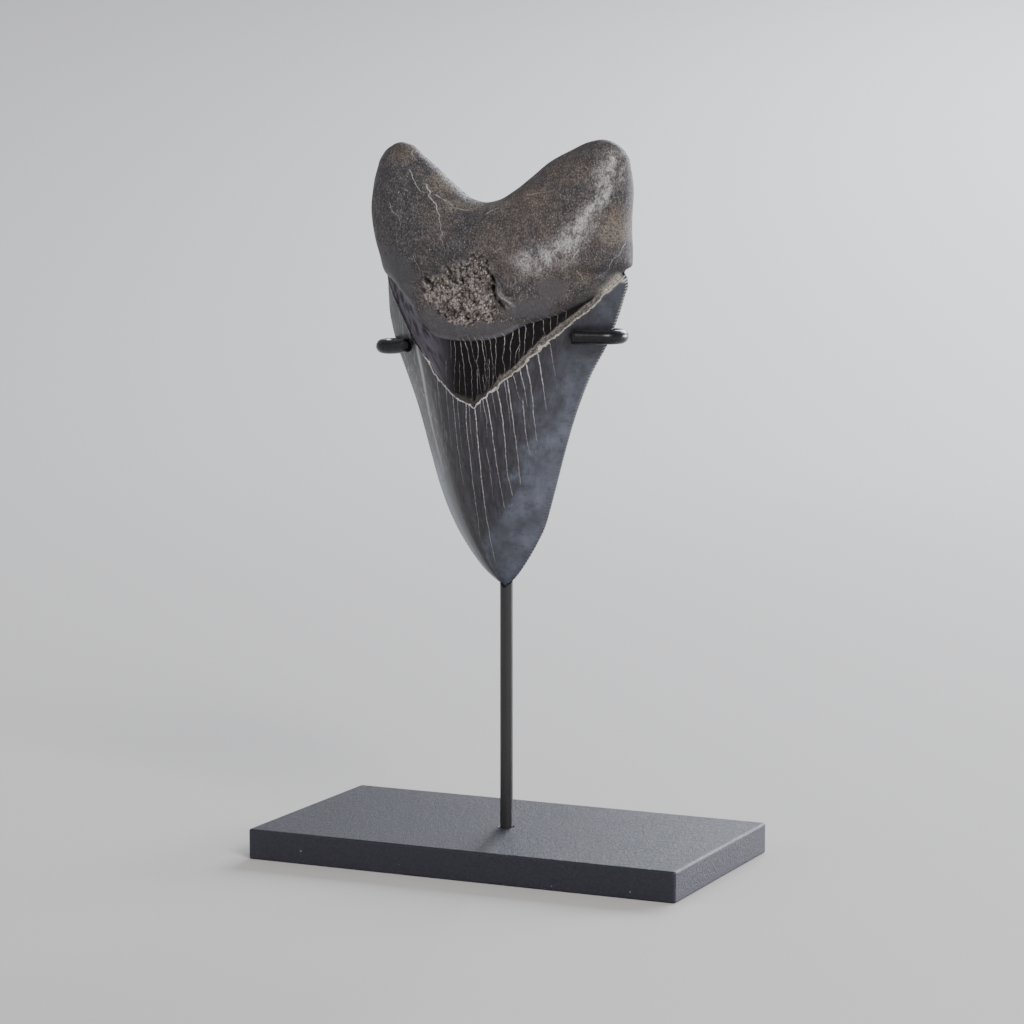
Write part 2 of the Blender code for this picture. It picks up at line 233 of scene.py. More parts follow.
enamelFront = (
    (-41.0, 98.5), (-38.1, 94.0), (-33.1, 87.5), (-26.8, 78.9), (-20.5, 72.2), (-18.6, 69.2),
    (-14.2, 65.0), (-11.3, 62.6), (-8.1, 60.9), (-5.2, 59.8), (-3.3, 59.2), (-1.5, 60.9), (1.0, 62.9),
    (2.6, 64.4), (4.7, 65.1), (6.3, 67.3), (9.5, 69.6), (11.9, 71.3), (15.3, 74.6), (17.8, 77.1),
    (23.5, 82.3), (31.8, 89.4), (39.9, 97.7), (43.6, 101.7),
)
rootFront = (
    (-40.9, 100.5), (-36, 98.6), (-30.3, 94.4), (-24.9, 89.6), (-23.1, 85.8), (-19.6, 82.7),
    (-14.6, 80.7), (-6.7, 80.2), (0.8, 80.8), (7.5, 82.2), (14.3, 85.6), (20.3, 87.5), (26.4, 90.1),
    (37.7, 97.0), (43.2, 102.5),
)
enamelBack = ((-41.0, 98.5), (-34, 95.5), (-22, 92), (-2, 90.2), (20, 93), (34, 97), (43.6, 101.7))
outlineDepth = ((0, 0), (10, -0.7), (30, -1.5), (97, -2.0), (106, -5.6), (115, -7.6), (144, -8.0))
crownFront = (
    (0, 0), (3, 1.5), (6, 2.8), (15, 5.9), (30, 9.7), (45, 12.4), (60, 14.6), (75, 16.2), (88, 17.0),
    (144, 17.0),
)
crownBack = ((0, 0), (5, 0.6), (15, 1.4), (30, 1.9), (97, 2.2), (144, 2.2))
rootFrontDepth = ((78, 17.4), (90, 18.6), (100, 17.6), (112, 16.2), (126, 13.6), (144, 11.0))
rootBackDepth = ((78, 7.4), (98, 8.4), (112, 10.0), (126, 9.6), (144, 7.6))
ledgeWidth = (
    (-41, 0.5), (-20, 0.6), (-13, 0.8), (-11, 1.0), (-8, 1.5), (-5, 2.0), (-2.5, 2.1), (0.5, 1.5),
    (3, 1.3), (4.4, 2.4), (6.6, 2.0), (9, 1.7), (13, 2.2), (16, 2.4), (25, 2.2), (32, 2.0), (36.4, 1.7),
    (37.6, 0.6), (43, 0.4),
)
rimWidth = (
    (-41, 0.34), (-22, 0.32), (-8, 0.3), (-3, 0.4), (1, 0.36), (4.7, 0.8), (6.5, 0.36), (11, 0.4),
    (12.2, 0.6), (13.5, 0.4), (14.2, 0.65), (16, 0.45), (17.8, 0.8), (19.5, 0.42), (25, 0.4),
    (32, 0.38), (38, 0.3), (43, 0.25),
)
hollowPlan = {
    "depth": 0.7,
    "grainPitch": 0.86,
    "grainHeight": 0.75,
    "crispEdge": 0.7,           # over how much the crumbs give way to the root below them
    "softEdge": 4.0,            # and above them
    "softFrom": 99.0,
    "creviceDepth": 1.5,
    "ridgeHeight": 0.5,
}
hollowOutline = (
    (-19.3, 99.4), (-19.7, 96.3), (-19.1, 93.9), (-18.1, 92.0), (-15.6, 91.4), (-14.8, 89.3),
    (-12.6, 88.3), (-10.7, 86.2), (-8.9, 85.7), (-6.7, 85.9), (-4.5, 85.2), (-2.2, 85.5), (-1.4, 86.7),
    (1.5, 87.2), (5.2, 87.0), (5.6, 88.8), (8.9, 88.8), (7.0, 91.4), (5.2, 94.4), (6.2, 97.5),
    (5.4, 101.3), (5.6, 104.5), (5.2, 108.8), (2.2, 110.6), (-1.7, 110.0), (-3.6, 107.2), (-7.4, 105.8),
    (-11.6, 105.0), (-14.6, 102.4), (-17.0, 101.4), (-19.3, 99.4),
)
# Lines on the root's front: each has its strength, then x and height of one point after another.
crevices = (
    (1.0, 3.0, 103.7, 4.7, 101.5, 4.9, 99.3, 4.8, 96.8, 5.5, 94.8, 7.1, 93.3, 9.2, 91.1),
    (1.0, -6.0, 100.7, -5.6, 99.1, -4.2, 98.1), (0.6, -19.2, 100.0, -17.2, 98.2),
    (0.4, -2.2, 101.8, 0.3, 102.0), (0.5, -0.3, 100.0, 1.1, 100.6), (0.5, -9.5, 99.8, -7.5, 98.4),
    (0.5, -9.6, 89.0, -7.7, 87.0), (0.5, -11.6, 90.8, -10.3, 90.2), (0.5, -6.7, 89.9, -4.2, 89.2),
    (0.6, -17.5, 96.8, -17.1, 95.9), (0.8, -3.9, 87.9, -3.7, 86.9), (0.6, -2.5, 93.5, -1.4, 92.7),
    (0.35, 8.4, 96.6, 9.6, 95.4, 11.4, 94.9), (0.8, -23.2, 87.0, -21.5, 85.3, -19.8, 83.9, -18.4, 82.9),
    (0.6, -22.8, 83.9, -22.4, 82.3, -21.6, 80.7), (0.6, 3.2, 104.6, 4.1, 106.2),
    (0.5, -13.8, 96.4, -12.6, 95.2), (0.5, 0.4, 96.0, 1.2, 94.2), (0.4, -8.8, 94.8, -7.9, 93.6),
)
ridges = (
    (1.0, 6.2, 98.1, 6.5, 96.3, 7.5, 94.9, 9.7, 93.7, 12.5, 91.8),
    (0.6, 7.1, 97.7, 7.8, 95.9, 9.3, 94.7, 12.8, 94.0), (0.5, 6.9, 93.9, 8.6, 92.4, 10.9, 91.0),
    (0.45, -33.0, 97.8, -30.4, 95.4, -27.6, 92.9, -25.2, 90.3, -23.8, 87.8),
    (0.7, 11.8, 101.8, 12.9, 100.6, 12.8, 99.0, 11.6, 98.2, 9.9, 98.3),
    (0.6, 5.8, 100.5, 6.8, 98.9, 7.2, 98.1), (0.5, 3.5, 111.4, 4.2, 110.0),
    (0.5, 6.8, 109.0, 10.4, 110.5),
)
# Cracks on the front, left to right, given in the same way.
crownCracks = (
    (0.25, -17.6, 68.2, -17.6, 60.5, -16.8, 52.0), (0.4, -14.1, 64.9, -13.9, 56.0, -13.7, 45.9),
    (0.6, -11.3, 62.5, -11.2, 57.5, -10.9, 46.0, -9.9, 34.1),
    (0.35, -9.6, 61.6, -9.4, 52.0, -9.2, 44.0),
    (0.8, -6.4, 60.4, -6.7, 52.4, -6.2, 44.4, -5.5, 22.1, -6.0, 17.0),
    (0.5, -5.2, 59.9, -5.3, 53.4, -4.8, 46.0), (1.0, -3.1, 59.4, -2.8, 46.6, -2.3, 25.0, -1.6, 8.5),
    (0.35, -1.2, 61.2, -1.1, 56.0), (0.6, -0.2, 62.0, 0.7, 55.2, 0.5, 50.0),
    (0.4, -0.1, 45.7, 0.6, 39.6, 0.9, 29.1), (0.9, 1.0, 62.9, 2.0, 55.2, 2.9, 41.4, 4.2, 26.9),
    (0.5, 2.9, 64.4, 3.5, 60.5, 3.9, 57.0),
    (1.0, 4.9, 65.0, 5.8, 57.3, 6.1, 50.0, 6.0, 39.2, 6.9, 31.0),
    (0.4, 7.2, 68.0, 7.8, 60.7, 8.1, 54.0), (0.85, 8.1, 68.6, 8.9, 57.7, 9.4, 46.0, 9.6, 34.8),
    (0.5, 10.0, 69.9, 11.4, 62.4), (0.8, 12.2, 71.4, 13.1, 65.0, 13.4, 60.2),
    (0.7, 12.3, 61.6, 12.4, 49.8, 12.9, 44.6), (0.9, 14.2, 73.4, 15.0, 66.0, 15.0, 55.3, 15.2, 48.9),
    (0.9, 17.8, 77.0, 18.3, 68.0, 18.5, 58.9), (0.35, 21.5, 80.0, 21.9, 69.4),
)
bandCracks = (
    (0.3, -13.6, 73.3, -13.9, 67.7), (0.35, -11.5, 80.5, -11.3, 76.0, -11.5, 73.6),
    (0.6, -9.9, 80.5, -9.6, 74.5, -10.3, 71.2, -10.8, 64.6), (0.4, -8.2, 72.8, -8.8, 63.7),
    (0.9, -7.9, 80.8, -7.0, 75.2, -6.7, 72.5, -6.6, 69.1, -6.4, 62.6),
    (1.0, -6.0, 81.0, -4.6, 75.3, -3.9, 71.0, -4.1, 61.5), (0.7, -3.9, 81.2, -2.8, 74.7, -1.6, 72.7),
    (0.7, -1.8, 71.3, -2.3, 61.1), (0.9, -1.6, 81.4, -1.2, 76.8, -2.0, 73.9, -1.4, 71.1, -0.9, 64.2),
    (0.9, 0.0, 81.0, 0.9, 73.8, 0.8, 64.9), (0.6, 0.1, 69.3, 0.3, 62.8), (0.7, 0.9, 81.5, 1.5, 75.6),
    (0.7, 2.4, 74.4, 1.9, 64.9), (0.8, 2.8, 81.5, 3.4, 75.5, 3.4, 69.2), (0.5, 3.7, 69.8, 2.8, 65.5),
    (0.9, 4.9, 81.9, 4.8, 75.7, 4.3, 72.5, 4.4, 67.6),
    (1.0, 7.9, 82.8, 7.4, 77.8, 6.9, 75.1, 7.3, 71.1, 6.5, 68.4),
    (0.9, 10.5, 83.5, 9.4, 78.6, 9.5, 75.8, 8.9, 71.5), (0.7, 12.3, 79.1, 11.0, 76.8, 10.6, 73.6),
    (0.7, 12.6, 84.7, 12.3, 79.1, 11.9, 74.6), (0.8, 14.6, 85.2, 13.6, 77.5, 12.8, 75.2),
    (0.8, 17.2, 86.9, 16.2, 79.4), (0.7, 19.7, 87.8, 19.9, 82.1, 19.1, 80.4),
    (0.7, 22.1, 88.6, 21.6, 83.8), (0.6, 24.1, 89.3, 23.7, 85.5), (0.5, 26.7, 90.5, 26.3, 87.5),
)
rootCracks = (
    (0.7, -32.4, 123.5, -30.1, 121.0, -27.9, 119.7, -27.4, 117.5, -28.2, 114.4, -28.1, 110.6),
    (0.8, -27.2, 139.9, -26.1, 138.2, -25.2, 137.1),
    (0.9, -26.6, 133.9, -24.0, 130.8, -21.7, 127.6, -19.5, 127.0, -18.2, 126.1),
    (0.45, -22.0, 107.1, -21.0, 103.0, -19.8, 102.0, -19.4, 98.8),
    (1.3, -20.5, 129.4, -18.2, 126.1, -16.1, 123.6, -14.1, 120.5, -12.8, 117.1, -11.7, 113.6),
    (0.8, -16.8, 126.4, -13.3, 124.8, -10.2, 122.5), (0.5, -12.0, 114.6, -11.2, 111.1, -10.9, 109.0),
    (0.6, -8.6, 122.1, -6.7, 121.7, -2.0, 121.8), (0.8, 0.7, 120.6, 3.4, 121.8, 6.8, 123.1),
    (0.5, 15.8, 126.7, 19.5, 127.3, 23.0, 127.6, 25.7, 128.3),
    (1.0, 34.5, 110.2, 32.3, 107.4, 30.5, 105.0, 27.6, 102.5),
    (0.6, 33.5, 103.0, 34.4, 100.6, 34.5, 99.1),
    (0.6, 45.9, 111.7, 44.4, 107.9, 41.8, 104.5, 37.3, 100.6),
)
crackLayers = 3                 # neighbours go in different layers, so their distances never mix
# Kinds of crack: lines, half width of the finest, what full strength adds, how far they stray.
crackKinds = (
    (crownCracks, 0.07, 0.17, 0.35), (bandCracks, 0.08, 0.12, 0.65), (rootCracks, 0.08, 0.13, 1.9),
)
# Broad tints on the root's front: x, height, half width, half height.
rootTints = {
    "brown": ((17, 121, 12, 9), (9, 110, 10, 11), (-29, 140, 5, 3), (30, 134, 8, 4), (24, 103, 13, 6)),
    "rust": ((44.2, 118, 4.5, 6), (34, 101, 1.6, 2.6), (20, 126, 6, 3)),
    "plain": ((-31, 98, 8, 13), (-16, 85, 12, 5), (2, 84, 16, 3.2), (24, 97, 6, 4), (17, 91, 8, 3)),
    "beige": ((-16, 130, 5, 4.5), (-7, 123, 8, 2), (5, 123.5, 5, 2), (44, 116, 3.5, 4)),
}
# The painted sheen: a pale painted highlight along this line on the right lobe.
sheenLine = (
    (42.1, 138.2), (41.0, 133.0), (40.5, 128.4), (39.2, 124.7), (36.5, 120.7), (34.6, 116.7),
    (32.8, 113.0), (30.3, 109.9), (23.3, 107.3), (18.2, 105.0),
)
# Line of a painted highlight streak on the crown's left flank.
flankLine = (
    (-26.2, 78.2), (-25.3, 73.3), (-24.5, 68.5), (-24.1, 61.9), (-23.6, 56.4), (-22.4, 50.5), (-19.0, 37.0),
)
# Painted highlight ovals, given as the tints are: painted sheen on the right lobe, and a painted glint at
# the enamel's top right corner.
sheenLobe = (45.3, 133.5, 0.9, 3.0)
glintCorner = (42.9, 99.9, 1.0, 0.5)
chalkEnds = (36.2, 42.9)        # where the chalky line on the root's right lip starts and ends
farAway = 50.0                  # farther off than any crack shows


def wander(x, height, number):
    # how far a crack strays sideways: two sine waves and some value noise, its own for each crack
    waves = 0.12 * np.sin(0.9 * height + 2.1 * number) + 0.06 * np.sin(2.7 * height + 1.7 * number)
    return waves + 0.45 * swing(0 * x + number, height, 1.3, 31)


def acrossAt(columns, samples=4001):
    # column positions from -1 to 1, crowded in the middle and at the edges: a running sum of
    # 1 + a bell at each of the three, read backwards
    fine = np.linspace(-1, 1, samples)
    crowd = 1 + toothPlan["middleCrowding"] * bell((fine + 0.05) / 0.42)
    crowd += toothPlan["edgeCrowding"] * (bell((fine - 1) / 0.07) + bell((fine + 1) / 0.07))
    total = np.cumsum(crowd)
    return np.interp(np.linspace(total[0], total[-1], columns + 1), total, fine)


def xAcross(across, height):
    # x at a share of the tooth's width, -1 on the left outline and 1 on the right one
    left, right = smoothCurve(leftSide, height), smoothCurve(rightSide, height)
    return left + (right - left) * (across + 1) / 2


def ragged(x, seed):
    # a chipped line: three scales of value noise about zero
    coarse = swing(x, 0 * x, 3.1, seed)
    middle = swing(x, 0 * x, 1.3, seed + 1)
    return 0.45 * coarse + 0.32 * middle + 0.16 * swing(x, 0 * x, 0.6, seed + 2)


def lineHeight(line, x, roughness):
    # height of a line across the tooth, with a chipped edge that dies out at its ends
    fade = toothPlan["chipsFade"]
    ends = smoothStep((x - line[0][0]) / fade) * smoothStep((line[-1][0] - x) / fade)
    return smoothCurve(line, x) + roughness * ends * ragged(x, 3)


def whereColumnsMeet(across, line, roughness, steps=80):
    # height at which each column meets the line, by stepping halfway towards it many times
    height = np.full_like(across, line[len(line) // 2][1])
    for _ in range(steps):
        height += 0.5 * (lineHeight(line, xAcross(across, height), roughness) - height)
    height[0], height[-1] = line[0][1], line[-1][1]
    return height


def gapAbove(line, x, height, roughness):
    # how far a point stands above a line, measured square to it
    slope = smoothCurve(line, x + 0.5) - smoothCurve(line, x - 0.5)
    return (height - lineHeight(line, x, roughness)) / np.sqrt(1 + slope**2)


def fromRootOutline(x, height):
    # distance in from the root's sides and from its lobes, joined by their inverse fourth powers,
    # which rounds the corner between them
    inside = np.minimum(x - smoothCurve(leftSide, height), smoothCurve(rightSide, height) - x)
    x = np.clip(x, lobes[0][0] + 0.2, lobes[-1][0] - 0.2)
    below = smoothCurve(lobes, x)
    slope = (smoothCurve(lobes, x + 0.2) - smoothCurve(lobes, x - 0.2)) / 0.4
    below = np.clip(below - height, 0, None) / np.sqrt(1 + slope**2)
    inside = np.clip(inside, 0, None)
    return ((inside + 1e-6)**-4 + (below + 1e-6)**-4)**-0.25


def insideOf(x, height, outline):
    # distance to a closed line, positive inside it: a point is inside when a ray from it to the
    # right crosses the line an odd number of times
    away, _ = alongLine(x, height, outline)
    crossings = np.zeros_like(x)
    for (ax, az), (bx, bz) in zip(outline[:-1], outline[1:]):
        if az != bz:
            meets = ax + (height - az) * (bx - ax) / (bz - az)
            crossings += ((az > height) != (bz > height)) & (meets > x)
    return np.where(crossings % 2 == 1, 1, -1) * np.abs(away)


def strokes(rows):
    # the points and the strength of each line of a table
    return [(np.reshape(row[1:], (-1, 2)), row[0]) for row in rows]


def nearLines(x, height, lines, halfWidth):
    # the strongest of the bells across each line, fading out at its two ends
    best = np.zeros_like(x)
    for points, strength in strokes(lines):
        away, along = alongLine(x, height, points)
        ends = np.sqrt(np.clip(np.sin(math.pi * np.clip(along * 0.9 + 0.05, 0, 1)), 0, 1))
        best = np.maximum(best, strength * ends * bell(away / (halfWidth * (0.6 + 0.4 * strength))))
    return best


def spongyRelief(x, height):
    # crumbs as domes over random points, each at its own height, cut by crevices and ridges
    swungX = x + 0.9 * swing(x, height, 1.7, 25)
    swungZ = height + 0.9 * swing(x, height, 1.9, 26)
    inside = insideOf(x, height, hollowOutline)
    inside += 1.1 * swing(x, height, 1.5, 11) + 1.8 * swing(x, height, 3.6, 12)
    upper = smoothStep((height - hollowPlan["softFrom"]) / 4)
    soft = hollowPlan["crispEdge"] * (1 - upper) + hollowPlan["softEdge"] * upper
    share = smoothStep(inside / soft + 0.25)
    pitch = hollowPlan["grainPitch"]
    away, own = grains(x, height, pitch, 21)
    fineAway, fineOwn = grains(x, height, pitch * 0.6, 22)
    coarse = np.clip(1.12 - 1.5 * away**1.2, 0, 1) * (0.35 + 0.65 * own)
    fine = np.clip(1.1 - 1.4 * fineAway, 0, 1) * (0.3 + 0.7 * fineOwn)
    crumb = np.maximum(coarse, 0.8 * fine)
    gaps = smoothStep((softNoise(x + 0.5 * height, height - 0.4 * x, 1.9, 23) - 0.66) / 0.22)
    crumb = crumb * (1 - 0.7 * gaps)
    jagged = x + 0.7 * swing(x, height, 0.9, 27)
    broken = 0.35 + 0.65 * smoothStep((softNoise(x, height, 1.6, 28) - 0.2) / 0.35)
    crevice = nearLines(swungX * 0.5 + jagged * 0.5, swungZ, crevices, 0.60) * broken
    ridge = nearLines(swungX * 0.5 + x * 0.5, height, ridges, 0.22)
    ridge *= 0.35 + 0.65 * smoothStep((softNoise(x, height, 1.1, 30) - 0.25) / 0.4)
    crumbHeight = hollowPlan["grainHeight"] * (0.7 + 0.6 * softNoise(x, height, 3.1, 29))
    relief = share * (crumbHeight * crumb - hollowPlan["depth"])
    relief += hollowPlan["ridgeHeight"] * ridge - hollowPlan["creviceDepth"] * crevice
    # painted shade: near black in the crevices and in the gaps between crumbs
    hole = np.clip(1.5 * crevice + 0.3 * share * gaps * (1 - crumb), 0, 1)
    return relief, share, crumb, hole, ridge


def crackFields(x, height):
    # for the nearest crack of each layer: the signed distance to it, the plain distance, and its
    # half width, which tapers from its start to its end; cracks also share a groove depth
    fields, groove = {}, np.zeros_like(x)
    for layer in range(crackLayers):
        signed, width = np.full_like(x, farAway), np.zeros_like(x)
        for cracks, finest, extra, stray in crackKinds:
            for number, (points, strength) in enumerate(strokes(cracks)[layer::crackLayers]):
                swung = x + stray * wander(x, height, number * crackLayers + layer)
                away, along = alongLine(swung, height, points)
                nearer = np.abs(away) < np.abs(signed)
                signed = np.where(nearer, away, signed)
                width = np.where(nearer, (finest + extra * strength) * (1 - 0.6 * along), width)
        full = np.clip(width / toothPlan["grooveFullFrom"], 0, 1)
        groove = np.maximum(groove, bell(signed / toothPlan["grooveWidth"]) * full)
        fields["crackSide%d" % layer] = signed
        fields["crackNear%d" % layer] = np.abs(signed)
        fields["crackWidth%d" % layer] = width
    return fields, groove


def wrinkles(x, height):
    # folded value noise on two scales, drawn out upwards: 1 on a crest and 0 in a valley
    swungX = x + 1.4 * swing(x, height, 2.3, 103)
    broad = 1 - np.abs(2 * softNoise(swungX + 0.35 * height, 0.62 * height, 2.3, 101) - 1)
    fine = 1 - np.abs(2 * softNoise(swungX - 0.2 * height, 0.75 * height, 1.1, 102) - 1)
    return 0.55 * broad + 0.45 * fine


def ovalAway(x, height, middleX, middleHeight, halfWidth, halfHeight):
    # distance from an oval's middle, which is 1 all along its edge
    return np.hypot((x - middleX) / halfWidth, (height - middleHeight) / halfHeight)


def tintFields(x, height):
    # soft ovals with wavering edges, then bells across the painted sheen's line, the lip and the line of the
    # flank's painted highlight
    shift = 2.4 * swing(x, height, 6, 91) + 1.2 * swing(x, height, 2.2, 92)
    fields = {}
    for tint, ovals in rootTints.items():
        best = np.zeros_like(x)
        for oval in ovals:
            away = ovalAway(x + shift, height + shift, *oval)
            best = np.maximum(best, smoothStep((1.25 - away) / 0.6))
        fields[tint] = best
    # painted sheen: a painted highlight along its line and on an oval of the right lobe
    away, _ = alongLine(x + shift, height, sheenLine)
    spread = 2.2 + 1.6 * smoothStep((122 - height) / 8)
    lobe = bell(ovalAway(x, height, *sheenLobe))
    fields["sheen"] = np.maximum(bell(away / spread), 0.8 * lobe)
    above = gapAbove(rootFront, x, height, toothPlan["lipChips"])
    ends = smoothStep((x - chalkEnds[0]) / 1.5) * smoothStep((chalkEnds[1] - x) / 0.8)
    fields["chalk"] = ends * bell((above + 0.1) / 0.7)
    # painted glint: a painted highlight streak along the flank's line, fading along it, and a painted
    # highlight oval at the enamel's corner
    away, along = alongLine(x, height, flankLine)
    corner = bell(ovalAway(x, height, *glintCorner))
    fields["glint"] = np.maximum(0.9 * bell(away / 0.55) * (1 - 0.8 * along), corner)
    fields["wrinkle"] = wrinkles(x, height)
    return fields


def serration(turn, height, edgeGap, seed):
    # turn is 1 on the rows that stand out along the cutting edge and -1 on those between them;
    # the reach is uneven from tooth to tooth and dies away inwards
    wear = 0.5 + 0.8 * softNoise(height, 0 * height, 2.9, seed)
    fade = smoothStep((height - 2.5) / 6)
    return turn * wear * fade * smoothStep(1 - edgeGap / toothPlan["serrationInset"])


def rootRoughness(x, height, seed):
    # broad knocks, then finer and finer pitting
    broad = 0.9 * swing(x, height, 11, seed) + 0.5 * swing(x, height, 5.2, seed + 1)
    middle = 0.16 * swing(x + 0.6 * height, height, 2.4, seed + 2)
    fine = 0.13 * swing(x, height, 0.9, seed + 3)
    pocks = -0.22 * smoothStep((softNoise(x, height, 1.4, seed + 4) - 0.74) / 0.12)
    return broad * 0.55 + middle + fine + pocks


def ledgeRelief(x, gap):
    # across the enamel's upper edge: a raised pale rim, a rough ledge, then down to the band
    width = smoothCurve(ledgeWidth, x) * (1 + 0.7 * ragged(x, 41))
    rim = smoothCurve(rimWidth, x) * (0.65 + 0.7 * softNoise(x, gap, 1.1, 42))
    down = smoothStep((gap - width) / 0.4)
    ledge = smoothStep((gap - rim) / 0.35) * (1 - down)
    roughLedge = 0.22 * swing(x, gap, 0.8, 43)
    rise = toothPlan["rimHeight"] * bell((gap - rim * 0.5) / (rim * 0.55 + 0.1))
    relief = rise - ledge * (0.16 + roughLedge) - down * toothPlan["enamelStep"]
    return relief, gap / rim, gap / width


def frontSurface(across, x, height):
    # y of the front: a lens section on the crown, dropping a step to the band, with the rounded
    # root bulging above its lip; every relief is a depth in millimetres square to the face
    gap = gapAbove(enamelFront, x, height, toothPlan["enamelChips"])
    rootGap = gapAbove(rootFront, x, height, toothPlan["lipChips"])
    middle = 1 - across**2
    flutes = toothPlan["fluteDepth"] * np.sin(across * toothPlan["fluteRate"] + 0.02 * height)
    flutes *= smoothStep((0.9 - np.abs(across)) / 0.3) * smoothStep((0.05 - across) / 0.4)
    flank = (across - toothPlan["flankAt"]) / toothPlan["flankWidth"]
    ridge = toothPlan["flankRidge"] * bell(flank) * smoothStep(height / 20)
    crown = smoothCurve(crownFront, height) * middle**0.95 + (flutes + ridge) * smoothStep(height / 12)
    crown += toothPlan["crownWaves"] * swing(x, height, 9, 51) * smoothStep(height / 10)
    ledge, rimShare, ledgeShare = ledgeRelief(x, gap)
    crown += ledge * smoothStep(middle / 0.25)
    root = smoothCurve(rootFrontDepth, height) * (1 - toothPlan["rootArch"] * across**2)
    inward = fromRootOutline(x, height)
    root = root * quarterRound(inward / toothPlan["rootRounding"])
    relief, spongy, crumb, hole, ridge = spongyRelief(x, height)
    tints = tintFields(x, height)
    rough = rootRoughness(x, height, 61) * (1 - 0.6 * spongy) * (1 - 0.5 * tints["plain"])
    folds = toothPlan["foldHeight"] * (tints["wrinkle"] - 0.5) * (1 - spongy)
    folds *= (0.6 + 0.6 * tints["sheen"]) * (1 - 0.6 * tints["plain"])
    root += relief + (rough + folds) * smoothStep(inward / 5) + toothPlan["sheenRise"] * tints["sheen"]
    share = quarterRound(rootGap / toothPlan["rootLip"])
    cracks, groove = crackFields(x, height)
    depth = crown + (root - crown) * share - toothPlan["grooveDepth"] * groove
    fields = {
        "across": across + 0 * x, "enamelGap": gap, "rootGap": rootGap, "rimShare": rimShare,
        "ledgeShare": ledgeShare, "spongy": spongy, "crumb": crumb, "hole": hole, "ridge": ridge,
        **cracks, **tints,
    }
    return smoothCurve(outlineDepth, height) - depth, fields


def backSurface(across, x, height):
    # y of the back: gently swollen enamel below, and the root's fuller back above it
    gap = gapAbove(enamelBack, x, height, toothPlan["enamelChips"])
    crown = smoothCurve(crownBack, height) * (1 - np.abs(across)**2.2)**0.9
    crown += toothPlan["backWaves"] * swing(x, height, 8, 71) * smoothStep(height / 10) * (1 - across**2)
    inward = fromRootOutline(x, height)
    root = smoothCurve(rootBackDepth, height) * quarterRound(inward / toothPlan["rootRounding"])
    rough = rootRoughness(x, height, 81) * smoothStep(inward / 5)
    poreX, poreHeight = toothPlan["poreAt"]
    poreAway = ovalAway(x, height, poreX, poreHeight, 1, toothPlan["poreTallness"])
    root += rough - toothPlan["poreDepth"] * bell(poreAway / toothPlan["poreRadius"])
    share = smoothStep(gap / toothPlan["backSwell"])
    step = -toothPlan["backStep"] * smoothStep(gap / 0.4) * (1 - share) * (1 - across**2)
    depth = crown + step + (root - crown) * share
    fields = {
        "across": across + 0 * x, "enamelGap": gap, "rootGap": gap - 1.5, "rimShare": gap / 0.5,
        # the feeding hole's mouth is painted shade, near black
        "ledgeShare": gap / 0.8, "hole": bell(poreAway / toothPlan["poreMouth"]),
        "wrinkle": wrinkles(x, height),
        "brown": smoothStep((softNoise(x, height, 17, 85) - 0.52) / 0.18),
        "plain": 0.7 * smoothStep((softNoise(x, height, 14, 86) - 0.55) / 0.2),
    }
    return smoothCurve(outlineDepth, height) + depth, fields


def toothRows(across, crownTop, rootBottom, crownShares):
    # x and height of each row: evenly up the crown, close together at the enamel's edge, and
    # turning gradually from the root's lower edge to the lobes' outline
    bandShares = np.linspace(0, 1, toothPlan["bandRows"] + 1)[1:]**toothPlan["bandCrowding"]
    crownHeight = crownTop * crownShares[:, None]
    bandHeight = crownTop + (rootBottom - crownTop) * bandShares[:, None]
    lowHeight = np.vstack([crownHeight, bandHeight])
    lowX = xAcross(across, lowHeight)

    rootShares = np.linspace(0, 1, toothPlan["rootRows"] + 1)[1:, None]
    rise = 1 - (1 - rootShares)**toothPlan["rootCrowding"]
    leftHeight = rootBottom[0] + (lobes[0][1] - rootBottom[0]) * rise
    rightHeight = rootBottom[-1] + (lobes[-1][1] - rootBottom[-1]) * rise
    left, right = smoothCurve(leftSide, leftHeight), smoothCurve(rightSide, rightHeight)
    rowX = left + (right - left) * (across + 1) / 2
    straightX = xAcross(across, rootBottom) * (1 - rise) + rowX * rise
    nearSide = np.abs(across)**6
    rootX = straightX * (1 - nearSide) + rowX * nearSide
    rootHeight = rootBottom * (1 - rise) + smoothCurve(lobes, rootX) * rise
    return np.vstack([lowX, rootX]), np.vstack([lowHeight, rootHeight])


